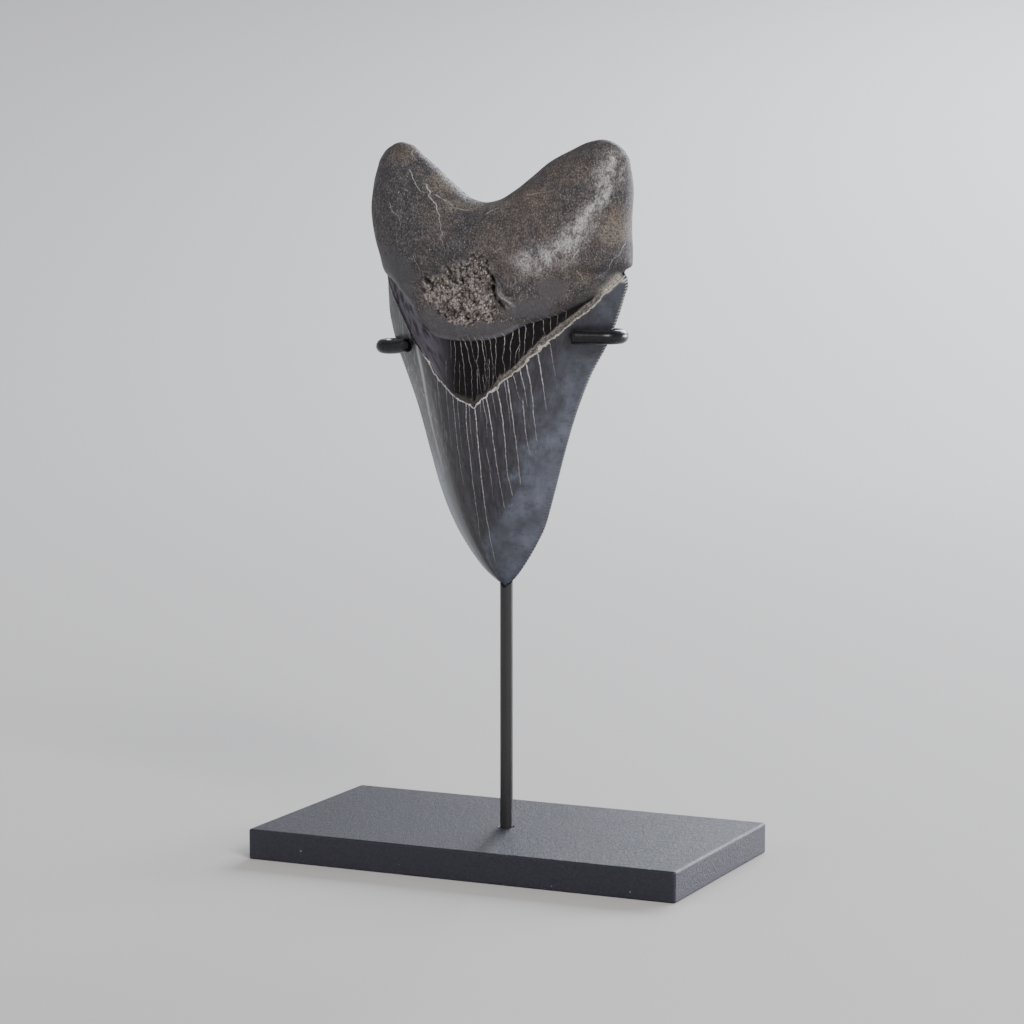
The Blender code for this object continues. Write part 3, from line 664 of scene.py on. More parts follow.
def buildTooth():
    # front and back are grids (row, column) that share their side columns and their top row
    across = acrossAt(toothPlan["columns"])
    every = toothPlan["backEvery"]
    rowStep = toothPlan["serrationPitch"] / 2
    crownRows = int(enamelFront[0][1] / rowStep)
    crownShares = np.arange(1, crownRows + 1) / crownRows

    chips = toothPlan["enamelChips"]
    enamelEdge = whereColumnsMeet(across, enamelFront, chips)
    rootEdge = whereColumnsMeet(across, rootFront, toothPlan["lipChips"])
    rootEdge = np.maximum(rootEdge, enamelEdge + toothPlan["bandLeast"])
    backAcross = across[::every]
    backEdge = whereColumnsMeet(backAcross, enamelBack, chips)
    backTop = backEdge + rootEdge[0] - backEdge[0]
    backTop[-1] = rootEdge[-1]
    frontX, frontHeight = toothRows(across, enamelEdge, rootEdge, crownShares)
    backX, backHeight = toothRows(backAcross, backEdge, backTop, crownShares)
    frontY, frontFields = frontSurface(across, frontX, frontHeight)
    backY, backFields = backSurface(backAcross, backX, backHeight)

    # serrations push the columns near both edges out and in, sideways and away from the other face
    rows, columns = frontX.shape
    turn = np.where(np.arange(rows) % 2 == 0, 1.0, -1.0)[:, None]
    turn[crownRows - 1:] = 0
    leftEdge, rightEdge = frontX[:, :1], frontX[:, -1:]
    reach, swell = toothPlan["serrationReach"], toothPlan["serrationSwell"]
    for x, y, height, facing in ((frontX, frontY, frontHeight, 1), (backX, backY, backHeight, -1)):
        leftCut = toothPlan["leftSerrations"] * serration(turn, height, x - leftEdge, 5)
        rightCut = serration(turn, height, rightEdge - x, 6)
        x += reach * (rightCut - leftCut)
        y -= facing * swell * reach * (rightCut + leftCut)

    edgeY = smoothCurve(outlineDepth, frontHeight)
    for side in (0, -1):
        backX[:, side], backHeight[:, side] = frontX[:, side], frontHeight[:, side]
        frontY[:, side] = backY[:, side] = edgeY[:, side]
    frontY[-1] = edgeY[-1]
    edgeGap = np.minimum(frontX - leftEdge, rightEdge - frontX)
    backEdgeGap = np.minimum(backX - leftEdge, rightEdge - backX)
    frontFields.update(edgeGap=edgeGap, bead=turn + 0 * frontX, front=np.ones_like(frontX))
    backFields.update(edgeGap=backEdgeGap, bead=turn + 0 * backX)

    # index the tip, then all of the front, then the back without what it shares
    backColumns = backX.shape[1]
    frontIndex = 1 + np.arange(rows * columns).reshape(rows, columns)
    backIndex = np.empty((rows, backColumns), dtype=int)
    inner = (rows - 1) * (backColumns - 2)
    backIndex[:-1, 1:-1] = (1 + rows * columns + np.arange(inner)).reshape(rows - 1, -1)
    backIndex[:, 0], backIndex[:, -1] = frontIndex[:, 0], frontIndex[:, -1]
    backIndex[-1] = frontIndex[-1, ::every]

    def quads(index):
        corners = (index[:-1, :-1], index[:-1, 1:], index[1:, 1:], index[1:, :-1])
        return np.stack(corners, axis=-1).reshape(-1, 4)

    tip = np.zeros(columns - 1, dtype=int)
    frontFan = np.stack([tip, frontIndex[0, 1:], frontIndex[0, :-1]], axis=-1)
    backFan = np.stack([tip[1::every], backIndex[0, :-1], backIndex[0, 1:]], axis=-1)
    crest = [frontIndex[-1, k::every][:backColumns - 1] for k in range(every)]
    crest = [backIndex[-2, 1:], backIndex[-2, :-1], *crest, frontIndex[-1, every::every]]
    points = np.vstack([
        [[0, 0, 0]],
        np.stack([frontX, frontY, frontHeight], axis=-1).reshape(-1, 3),
        np.stack([backX, backY, backHeight], axis=-1)[:-1, 1:-1].reshape(-1, 3),
    ])
    absent = {"crackSide": farAway, "crackNear": farAway}   # on the back; other fields are 0 there
    fields = {}
    for name, values in frontFields.items():
        behind = backFields.get(name, np.full_like(backX, absent.get(name.rstrip("012"), 0.0)))
        fields[name] = np.concatenate([[values[0, 0]], values.ravel(), behind[:-1, 1:-1].ravel()])
    low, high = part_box("tooth")
    sideways = (low.x + high.x) / 2 / mm - (points[:, 0].min() + points[:, 0].max()) / 2
    shift = (sideways, toothPlan["tipDepth"], low.z / mm)
    points += shift
    faces = [frontFan, backFan, quads(frontIndex), quads(backIndex[:-1])[:, ::-1], np.stack(crest, axis=-1)]
    return addMesh("fossil_tooth", points, faces, fields), Vector(shift) * mm


tooth, toothTip = buildTooth()
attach(tooth, "root")
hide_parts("tooth")
triangles = sum(len(face.vertices) - 2 for face in tooth.data.polygons)
print("tooth:", len(tooth.data.vertices), "points,", triangles, "triangles")


# Stand: a flat bar, a rod that is filed to a half-round strut above its V seat, one bent wire
# behind the strut, and a sleeve on each of the wire's hooks.

standPlan = {
    "length": 150.0,
    "depth": 80.0,
    "thickness": 10.0,
    "edge": 0.7,
    "corner": 1.0,
    "holeRadius": 2.4,
    "holeFloor": 3.0,
    "rodRadius": 2.1,
    "rodY": -1.4,
    "rodFoot": 3.3,
    "seat": 89.0,
    "seatRise": 0.78,
    "seatSlope": 0.35,          # how much the seat rises towards the strut
    "strutTop": 173.5,
    "strutFlat": 0.999,         # how much of the rod's front half is filed away
    "rodSides": 72,
}
clawPlan = {
    "wire": 1.4,
    "wireShort": 1.0,           # the wire ends this far inside its sleeve
    "wireRounding": 0.35,       # of both its ends
    "sleeve": 2.3,
    "sleeveWall": 0.6,
    "onBar": 7.0,
    "barY": 2.4,
    "braze": 0.26,              # how much thicker the wire is where it joins the strut
    "brazeReach": 2.2,
    "middleHeight": 169.1,
    "wireSides": 28,
    "sleeveSides": 40,
    "left": {
        "side": -1, "reach": 42.2, "bend": 6.8, "angle": 24, "finger": 9.9, "height": 166.6, "rise": 1.1},
    "right": {
        "side": 1, "reach": 40.7, "bend": 6.6, "angle": 28, "finger": 9.4, "height": 171.6, "rise": 0.2},
}


def roundedRectangle(inset, turn, arcShare):
    # points round a rectangle with round corners, drawn in by inset: turn picks the corner and
    # the place on its arc, and the arcs' ends are joined by straight sides
    halfX = standPlan["length"] / 2 - standPlan["corner"]
    halfY = standPlan["depth"] / 2 - standPlan["corner"]
    angle = (turn + arcShare) * math.pi / 2
    middle = (turn + 0.5) * math.pi / 2
    radius = standPlan["corner"] - inset
    return np.stack([
        np.sign(np.cos(middle)) * halfX + radius * np.cos(angle),
        np.sign(np.sin(middle)) * halfY + radius * np.sin(angle)], axis=-1)


def baseOutline(inset, cornerPoints=9, sidePoints=40):
    # one corner arc and the straight side after it, four times
    arc = np.linspace(0, 1, cornerPoints)
    along = np.linspace(0, 1, sidePoints + 2)[1:-1, None]
    sides = []
    for turn in range(4):
        corner = roundedRectangle(inset, turn, arc)
        following = roundedRectangle(inset, (turn + 1) % 4, arc[:1])
        sides += [corner, corner[-1:] + (following - corner[-1:]) * along]
    return np.vstack(sides)


def atHeight(outline, z):
    return np.column_stack([outline, np.full(len(outline), z)])


def buildBase():
    # rings from the middle of the underside, out and up its sides, in over the top and down the hole
    top, edge = standPlan["thickness"], standPlan["edge"]
    centre = np.array([0, standPlan["rodY"]])
    outer = baseOutline(0.0)
    towards = outer - centre
    towards /= np.hypot(*towards.T)[:, None]
    quarter = np.linspace(0, math.pi / 2, 6)
    rounding = [(edge * (1 - math.sin(a)), edge * (1 - math.cos(a))) for a in quarter]
    inner = edge + 0.08

    def hole(radius):
        return centre + towards * radius

    rings = [[[0, 0, 0]]]
    rings += [atHeight(outer * share, 0.0) for share in (0.1, 0.5)]
    rings.append(atHeight(baseOutline(inner), 0.0))
    rings += [atHeight(baseOutline(inset), z) for inset, z in rounding]
    rings += [atHeight(outer, z) for z in np.linspace(inner, top - inner, 6)]
    rings += [atHeight(baseOutline(inset), top - z) for inset, z in rounding[::-1]]
    topOuter, topInner = baseOutline(inner), hole(standPlan["holeRadius"] + 0.4)
    shares = np.linspace(0, 1, 14)
    rings += [atHeight(topOuter * (1 - share) + topInner * share, top) for share in shares]
    rings += [atHeight(hole(standPlan["holeRadius"] + r), z) for r, z in (
        (0.3, top), (0.22, top - 0.03), (0.05, top - 0.2), (0, top - 0.3), (0, top - 2),
        (0, standPlan["holeFloor"] + 0.1), (-0.05, standPlan["holeFloor"]), (-1.5, standPlan["holeFloor"]))]
    rings.append([[*centre, standPlan["holeFloor"]]])
    return loftRings("charcoal_base", rings)


def buildPost():
    # a grid (row, column): up the rod to the V seat, back across the seat, and up the strut
    turn = np.linspace(0, 2 * math.pi, standPlan["rodSides"], endpoint=False)
    radius = standPlan["rodRadius"]
    x, y = radius * np.cos(turn), radius * np.sin(turn)
    front = np.clip(-np.sin(turn), 0, 1)
    seat = standPlan["seat"] + standPlan["seatRise"] * np.abs(x)
    foot, top = standPlan["rodFoot"], standPlan["strutTop"]

    def ring(shrink, height, flattened=0.0):
        depth = np.where(front > 0, y * (1 - flattened), y) * shrink
        return np.stack([x * shrink, depth + standPlan["rodY"], height + 0 * x], axis=-1)

    rings = [[[0, standPlan["rodY"], foot]]]
    rings += [ring(1 - s, foot + z) for s, z in ((0.12, 0.0), (0.10, 0.0), (0.03, 0.07), (0.0, 0.25))]
    rings += [ring(1, foot + 0.3 + (seat - foot - 0.5) * share) for share in np.linspace(0, 1, 24)]
    rings += [ring(1, seat - 0.08), ring(1, seat)]
    slope, flat = standPlan["seatSlope"] * (1 - front), standPlan["strutFlat"]
    rings += [ring(1, seat + slope * share, share) for share in (0.06, 0.3, 0.6, 0.9)]
    stands = seat + slope + 0.05
    rings += [ring(1, stands + (top - 0.3 - stands) * share, flat) for share in np.linspace(0, 1, 26)]
    rings += [ring(1 - s, top - z, flat) for s, z in ((0.02, 0.12), (0.09, 0.02), (0.14, 0.0))]
    rings.append([[0, standPlan["rodY"] + radius * 0.4, top]])
    return loftRings("steel_post", rings)


def clawRoute(claw, sleeveOnly):
    # centre line of half the wire: the sloping bar, the bend, and the straight finger
    angle = math.radians(claw["angle"])
    centreX, centreY = claw["reach"] - claw["bend"], clawPlan["barY"] - claw["bend"]
    start = centreX - clawPlan["onBar"] if sleeveOnly else 0
    barX = np.linspace(start, centreX, 12 if sleeveOnly else 40)[:-1]
    barZ = clawPlan["middleHeight"] + (claw["height"] - clawPlan["middleHeight"]) * barX / centreX
    turn = np.linspace(0, math.pi - angle, 40)
    length = claw["finger"] - (0 if sleeveOnly else clawPlan["wireShort"])
    share = np.linspace(0, 1, 14)[1:]
    bendX, bendY = centreX + claw["bend"] * np.sin(turn), centreY + claw["bend"] * np.cos(turn)
    fingerX = bendX[-1] - share * length * math.cos(angle)
    fingerY = bendY[-1] - share * length * math.sin(angle)
    fingerZ = claw["height"] + claw["rise"] * share**1.5 * length / claw["finger"]
    return np.stack([
        claw["side"] * np.concatenate([barX, bendX, fingerX]),
        np.concatenate([0 * barX + clawPlan["barY"], bendY, fingerY]),
        np.concatenate([barZ, 0 * turn + claw["height"], fingerZ])], axis=-1)


def ringsAlong(route, at, radii, ahead, around):
    # circles square to a route that never runs upright: at says which of its points each one
    # stands on, and ahead how far it is shifted forwards from there
    forward = np.gradient(route, axis=0)
    forward /= np.linalg.norm(forward, axis=1)[:, None]
    sideways = np.cross([0, 0, 1], forward)
    sideways /= np.linalg.norm(sideways, axis=1)[:, None]
    upward = np.cross(forward, sideways)
    turn = np.linspace(0, 2 * math.pi, around, endpoint=False)[None, :, None]
    circle = sideways[at][:, None] * np.cos(turn) + upward[at][:, None] * np.sin(turn)
    middle = (route[at] + forward[at] * ahead[:, None])[:, None]
    return middle + radii[:, None, None] * circle


def buildClawBar():
    # both halves of the wire end to end, swollen by a bell at the braze, with rounded ends
    left = clawRoute(clawPlan["left"], False)
    right = clawRoute(clawPlan["right"], False)
    route = np.vstack([left[:0:-1], right])
    radii = clawPlan["wire"] + clawPlan["braze"] * bell(route[:, 0] / clawPlan["brazeReach"])
    rounding = clawPlan["wireRounding"]
    ease = np.linspace(0, math.pi / 2, 5)[1:]
    last = len(route) - 1
    at = np.concatenate([0 * ease, np.arange(last + 1), 0 * ease + last]).astype(int)
    endRadii = clawPlan["wire"] - rounding * (1 - np.cos(ease))
    radii = np.concatenate([endRadii[::-1], radii, endRadii])
    ahead = rounding * np.concatenate([-np.sin(ease[::-1]), np.zeros(last + 1), np.sin(ease)])
    rings = ringsAlong(route, at, radii, ahead, clawPlan["wireSides"])
    return loftRings("steel_claw_bar", [rings[:1].mean(axis=1), *rings, rings[-1:].mean(axis=1)])


def buildSleeve(name, claw):
    # out along the outside and back along the inside, with a half-round rim at each end
    route = clawRoute(claw, True)
    points = np.arange(len(route))
    half = clawPlan["sleeveWall"] / 2
    middle = clawPlan["sleeve"] - half
    rim = np.linspace(math.pi / 2, -math.pi / 2, 8)[1:-1]
    still = np.zeros(len(route))
    at = np.concatenate([points, np.full(len(rim), points[-1]), points[::-1], np.zeros(len(rim), dtype=int)])
    radii = middle + half * np.concatenate([still + 1, np.sin(rim), still - 1, -np.sin(rim)])
    ahead = half * np.concatenate([still, np.cos(rim), still, -np.cos(rim)])
    rings = ringsAlong(route, at, radii, ahead, clawPlan["sleeveSides"])
    index = np.arange(rings.shape[0] * rings.shape[1]).reshape(rings.shape[:2])
    beside = np.roll(index, -1, axis=1)
    faces = np.stack([index, beside, np.roll(beside, -1, axis=0), np.roll(index, -1, axis=0)], axis=-1)
    return addMesh(name, rings.reshape(-1, 3), [faces.reshape(-1, 4)])


stand = {
    "base": (buildBase(), "charcoal_base"),
    "post": (buildPost(), "black_steel"),
    "claw_bar": (buildClawBar(), "black_steel"),
    "claw_sleeve_left": (buildSleeve("sleeve_left", clawPlan["left"]), "black_sleeve"),
    "claw_sleeve_right": (buildSleeve("sleeve_right", clawPlan["right"]), "black_sleeve"),
}
for node, (piece, slotName) in stand.items():
    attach(piece, "root")
    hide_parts(node)
print("stand:", len(stand), "pieces")


# Materials. A value can be a number, the name of a colour in the material's table, or a Signal: a
# node's output, which can be added to, multiplied and ramped.

class Signal:
    def __init__(self, wiring, socket):
        self.wiring, self.socket = wiring, socket

    def __add__(self, other):
        return self.wiring.maths("ADD", self, other)

    def __sub__(self, other):
        return self.wiring.maths("SUBTRACT", self, other)

    def __mul__(self, other):
        return self.wiring.maths("MULTIPLY", self, other)

    def ramp(self, low, high, toLow=0.0, toHigh=1.0):
        # smooth change from toLow to toHigh while the signal goes from low to high
        return self.wiring.add("ShaderNodeMapRange", "Result", {
            "Value": self, "From Min": low, "From Max": high, "To Min": toLow, "To Max": toHigh,
        }, interpolation_type="SMOOTHSTEP")

    def beside(self, output):
        # another output of the same node
        return Signal(self.wiring, self.socket.node.outputs[output])


class Wiring:
    # adds nodes to one tree; place is where a point of the piece lies, in millimetres
    def __init__(self, tree, colours=None):
        self.tree, self.colours, self.place = tree, colours, None

    def add(self, kind, output, inputs=None, **settings):
        node = self.tree.nodes.new(kind)
        for name, value in settings.items():
            setattr(node, name, value)
        for name, value in (inputs or {}).items():
            self.feed(node.inputs[name], value)
        return Signal(self, node.outputs[output])

    def feed(self, socket, value):
        if isinstance(value, Signal):
            self.tree.links.new(value.socket, socket)
        else:
            socket.default_value = (*self.colours[value], 1) if isinstance(value, str) else value

    def maths(self, operation, a, b=0.0, clamped=False):
        return self.add("ShaderNodeMath", 0, {0: a, 1: b}, operation=operation, use_clamp=clamped)

    def mix(self, share, a, b):
        return self.add("ShaderNodeMix", 2, {"Factor": share, 6: a, 7: b}, data_type="RGBA")

    def mixValue(self, share, a, b):
        return self.add("ShaderNodeMix", 0, {"Factor": share, 2: a, 3: b})

    def painted(self, colour, *coats):
        # coats of colour one over the other, each as the share that it covers and its colour
        for share, coat in coats:
            colour = self.mix(share, colour, coat)
        return colour

    def stretched(self, sizes):
        # the place scaled by a size for each axis, or the plain place where none is given
        if sizes is None:
            return self.place
        return self.add("ShaderNodeMapping", 0, {"Vector": self.place, "Scale": sizes})

    def noise(self, scale, detail=2.0, roughness=0.5, sizes=None):
        return self.add("ShaderNodeTexNoise", "Fac", {
            "Vector": self.stretched(sizes), "Scale": scale, "Detail": detail, "Roughness": roughness})

    def field(self, name):
        return self.add("ShaderNodeAttribute", "Fac", attribute_name=name)

    def grain(self, scale, contrast, sizes=None):
        return self.add("ShaderNodeGroup", "Value", {
            "Point": self.stretched(sizes), "Scale": scale, "Contrast": contrast}, node_tree=fineGrain)

    def dots(self, scale, amount, size):
        return self.add("ShaderNodeGroup", "Mask", {
            "Point": self.place, "Scale": scale, "Amount": amount, "Size": size}, node_tree=speckle)


def newGroup(name, inputs, output):
    # a node group that takes a Point and some numbers and gives one value
    tree = bpy.data.node_groups.new(name, "ShaderNodeTree")
    for socket in ("Point", *inputs):
        kind = "NodeSocketVector" if socket == "Point" else "NodeSocketFloat"
        tree.interface.new_socket(socket, in_out="INPUT", socket_type=kind)
    tree.interface.new_socket(output, in_out="OUTPUT", socket_type="NodeSocketFloat")
    w = Wiring(tree)
    given = tree.nodes.new("NodeGroupInput").outputs
    w.place = Signal(w, given["Point"])
    return tree, w, tree.nodes.new("NodeGroupOutput").inputs[output], [Signal(w, given[i]) for i in inputs]


def makeSpeckle():
    # scattered dots: one in some of the cells of a Voronoi pattern
    tree, w, result, (scale, amount, size) = newGroup("speckle", ("Scale", "Amount", "Size"), "Mask")
    cells = w.add("ShaderNodeTexVoronoi", "Color", {"Vector": w.place, "Scale": scale})
    chance = w.add("ShaderNodeSeparateColor", "Red", {"Color": cells})
    chosen = chance.ramp(w.maths("SUBTRACT", 1.0, amount), 1.0)
    w.feed(result, chosen * cells.beside("Distance").ramp(size, size * 0.3))
    return tree


def makeGrain():
    # fine grain from two scales of noise, spread about one half by Contrast
    tree, w, result, (scale, contrast) = newGroup("fine grain", ("Scale", "Contrast"), "Value")
    blend = w.mixValue(0.4, w.noise(scale, 3.0, 0.6), w.noise(scale * 3.3, 1.0, 0.5))
    w.feed(result, w.maths("ADD", (blend - 0.5) * contrast, 0.5, clamped=True))
    return tree


speckle, fineGrain = makeSpeckle(), makeGrain()


def newMaterial(name, colours, origin=(0, 0, 0)):
    # the place is Object coordinates measured from the origin, which is given in metres
    material = bpy.data.materials.new(name)
    material.use_nodes = True
    w = Wiring(material.node_tree, colours)
    w.place = w.add("ShaderNodeMapping", 0, {
        "Vector": w.add("ShaderNodeTexCoord", "Object"),
        "Scale": (1 / mm,) * 3, "Location": tuple(-c / mm for c in origin)})
    return material, w, material.node_tree.nodes["Principled BSDF"].inputs


def finishMaterial(w, shader, colour, rough, relief, strength, depth):
    # a bump of the given strength and depth, then the three links that every material has
    bump = w.add("ShaderNodeBump", "Normal", {
        "Height": relief, "Strength": strength, "Distance": depth * mm})
    for name, value in (("Base Color", colour), ("Roughness", rough), ("Normal", bump)):
        w.feed(shader[name], value)


toothColours = {
    "enamelDark": (0.019, 0.017, 0.022),
    "enamelPlum": (0.041, 0.037, 0.050),
    "enamelSlate": (0.036, 0.039, 0.053),
    # painted highlight along the crown's left edge
    "edgeHighlight": (0.250, 0.280, 0.330),
    "enamelBlue": (0.078, 0.086, 0.114),
    "enamelPale": (0.112, 0.125, 0.164),
    # painted reflection on the crown's left flank
    "flankReflection": (0.066, 0.066, 0.073),
    # colour of painted highlights on the enamel
    "glint": (0.62, 0.62, 0.64),
    "crack": (0.50, 0.485, 0.48),
    "crackBright": (0.78, 0.77, 0.77),
    # colour of the painted highlights on the serrations' crests
    "crestHighlight": (0.70, 0.70, 0.71),
    # the enamel's pale rim: partly its own pale edge, partly a painted highlight where the raised edge
    # catches light
    "rim": (0.50, 0.465, 0.43),
    "rimPale": (0.66, 0.65, 0.65),
    "ledge": (0.188, 0.172, 0.160),
    "ledgeDark": (0.030, 0.025, 0.024),
    "band": (0.004, 0.002, 0.003),
    "bandGrey": (0.130, 0.121, 0.146),
    "bandPale": (0.230, 0.225, 0.250),
    "root": (0.077, 0.065, 0.065),
    "rootCool": (0.057, 0.053, 0.060),
    "rootPlain": (0.080, 0.077, 0.087),
    "rootDark": (0.020, 0.017, 0.017),
    "rootSpeck": (0.27, 0.250, 0.240),
    "glintSpeck": (0.60, 0.58, 0.56),
    "brown": (0.108, 0.084, 0.073),
    "rust": (0.150, 0.110, 0.087),
    "beige": (0.25, 0.225, 0.185),
    # colour of the painted sheen, a painted highlight on the right lobe
    "sheen": (0.52, 0.50, 0.50),
    "lip": (0.150, 0.150, 0.172),
    "crumb": (0.42, 0.372, 0.345),
    # painted shade in the pits between the crumbs
    "crumbDark": (0.028, 0.020, 0.018),
    # painted highlights: dots on the crumbs and glints in the sheen
    "paintedHighlight": (0.85, 0.81, 0.78),
    # near black painted shade in crevices, gaps, the feeding hole and the groove at the enamel's left end
    "hole": (0.006, 0.004, 0.004),
    "chalk": (0.58, 0.55, 0.46),
}
toothFinish = {
    "enamelRough": (0.27, 0.40),
    "bandRough": 0.72,
    "rootRough": (0.38, 0.58),
    "coat": 0.52,
    "coatRough": 0.26,
    "specular": 0.22,
    "bumpStrength": 0.6,
    "bumpDepth": 0.35,
}


def crackLines(w):
    # pale lines where the signed distance to a crack passes through nothing, dimmer on fine
    # cracks and here and there along all of them
    lines = 0.0
    for layer in range(crackLayers):
        width = w.field("crackWidth%d" % layer)
        line = w.maths("ABSOLUTE", w.field("crackSide%d" % layer)).ramp(width, width * 0.3)
        line *= w.field("crackNear%d" % layer).ramp(0.95, 0.65)
        lines = w.maths("MAXIMUM", line * width.ramp(0.03, 0.26, 0.35, 1.0), lines)
    return lines * w.noise(1.1, 3.0).ramp(0.34, 0.62, 0.35, 1.0)


def enamelColour(w, height, cracks, fill, bead, nearEdge):
    # dark middle, cloudy blue right side and back, darkening towards the top in painted shade where the
    # claw's shadow falls; a painted grey reflection on the left flank with a painted highlight along its
    # edge;
    # then the painted highlight streak, the cracks, and painted highlights on the serrations' crests with
    # painted shade between them
    across = w.field("across")
    broad = w.noise(0.07, 3.0, 0.55)
    clouds = w.noise(0.19, 5.0, 0.62, (1, 1, 0.6))
    streaks = w.noise(1.0, 3.0, 0.6, (1.4, 1.4, 0.045))
    mottles = w.noise(0.40, 4.0, 0.6, (0.75, 1, 1.3))
    blue = w.painted(
        "enamelBlue",
        (clouds.ramp(0.40, 0.66), "enamelPale"),
        (broad.ramp(0.56, 0.36, 0.0, 0.45), "enamelDark"),
        (mottles.ramp(0.50, 0.34, 0.0, 0.50), "enamelSlate"),
        # painted shadow of the right claw: the blue darkens towards the top
        (height.ramp(62.0, 80.0, 0.0, 0.58), "enamelDark"))
    # the left flank: a painted reflection, with painted highlight streaks and a painted highlight along its
    # edge
    flank = w.painted(
        "flankReflection",
        (streaks.ramp(0.50, 0.74) * height.ramp(30.0, 50.0, 0.05, 0.32), "glint"),
        (across.ramp(-0.62, -0.95) * height.ramp(50.0, 32.0, 0.0, 0.9), "edgeHighlight"))
    wavering = across + (clouds - 0.5) * 0.95
    rightStart = height.ramp(6.0, 36.0, -0.60, 0.34) + height.ramp(36.0, 66.0, 0.0, 0.2)
    # painted highlights on the serrations' crests, stronger towards the top, and painted shade between them
    crest = bead.ramp(0.0, 0.9) * nearEdge * height.ramp(45.0, 84.0, 0.12, 1.0)
    return w.painted(
        "enamelDark",
        (streaks.ramp(0.38, 0.66, 0.0, 0.9), "enamelPlum"),
        (wavering.ramp(rightStart - 0.06, rightStart + 0.40), blue),
        (across.ramp(-0.38, -0.74), flank),
        (w.field("front").ramp(0.6, 0.4), blue),
        # painted highlights: the flank's streak and the corner's glint
        (w.field("glint"), "glint"),
        (cracks, fill),
        (crest * 0.95, "crestHighlight"),
        (bead.ramp(0.1, -0.8) * nearEdge * 0.8, "enamelDark"))


def bandColour(w, x, cracks, fill):
    # near black with pale threads, turning at the left to a grey with slanting streaks
    upright, w.place = w.place, w.add("ShaderNodeMapping", 0, {
        "Vector": w.place, "Rotation": (0, math.radians(36), 0)})
    slantStreaks = w.noise(1.0, 3.0, 0.6, (0.7, 0.7, 0.09))
    w.place = upright
    paleStreak = w.field("rootGap").ramp(-2.6, -0.3) * x.ramp(-21.0, -26.0)
    return w.painted(
        "band",
        (x.ramp(-9.0, -22.0), "bandGrey"),
        (slantStreaks.ramp(0.55, 0.35) * x.ramp(-10.0, -20.0, 0.0, 0.75), "band"),
        (w.noise(1.0, 3.0, 0.6, (1.6, 1.6, 0.09)).ramp(0.55, 0.90, 0.0, 0.04), "ledge"),
        (w.noise(1.0, 2.0, 0.5, (3.2, 3.2, 0.10)).ramp(0.58, 0.76, 0.0, 0.13), "ledge"),
        (paleStreak * slantStreaks.ramp(0.38, 0.60, 0.10, 0.9), "bandPale"),
        (cracks * 0.8, fill))


def edgeColour(w, x, grain, enamel, band):
    # above the enamel: its pale rim, partly its own pale edge and partly a painted highlight, then the rough
    # ledge with a painted highlight along its top edge, then the dark band
    ledgeGrain = w.grain(1.5, 4.0)
    rightward = x.ramp(0.0, 9.0)
    ledge = w.mix(ledgeGrain * rightward.ramp(0.0, 1.0, 0.22, 1.0), "ledgeDark", "ledge")
    rim = w.painted(
        "rimPale",
        (rightward, "rim"),
        (ledgeGrain.ramp(0.35, 0.95, 0.0, 0.7), "ledge"),
        # painted shade in the groove at the enamel's left end
        (x.ramp(-21.0, -24.5), "hole"))
    jitter = (grain - 0.5) * 1.5
    wobble = (w.noise(0.55, 3.0, 0.6) - 0.5) * 2.0
    ledgeShare = w.field("ledgeShare") + jitter * 0.5
    return w.painted(
        enamel,
        ((w.field("enamelGap") + wobble).ramp(-0.12, 0.08), rim),
        ((w.field("rimShare") + wobble * 2.2 + jitter).ramp(0.75, 1.15), ledge),
        # a painted highlight along the ledge's top edge
        (ledgeShare.ramp(0.78, 0.92) * ledgeGrain.ramp(0.35, 0.65) * rightward * 0.45, "rim"),
        (ledgeShare.ramp(0.90, 1.08), band))


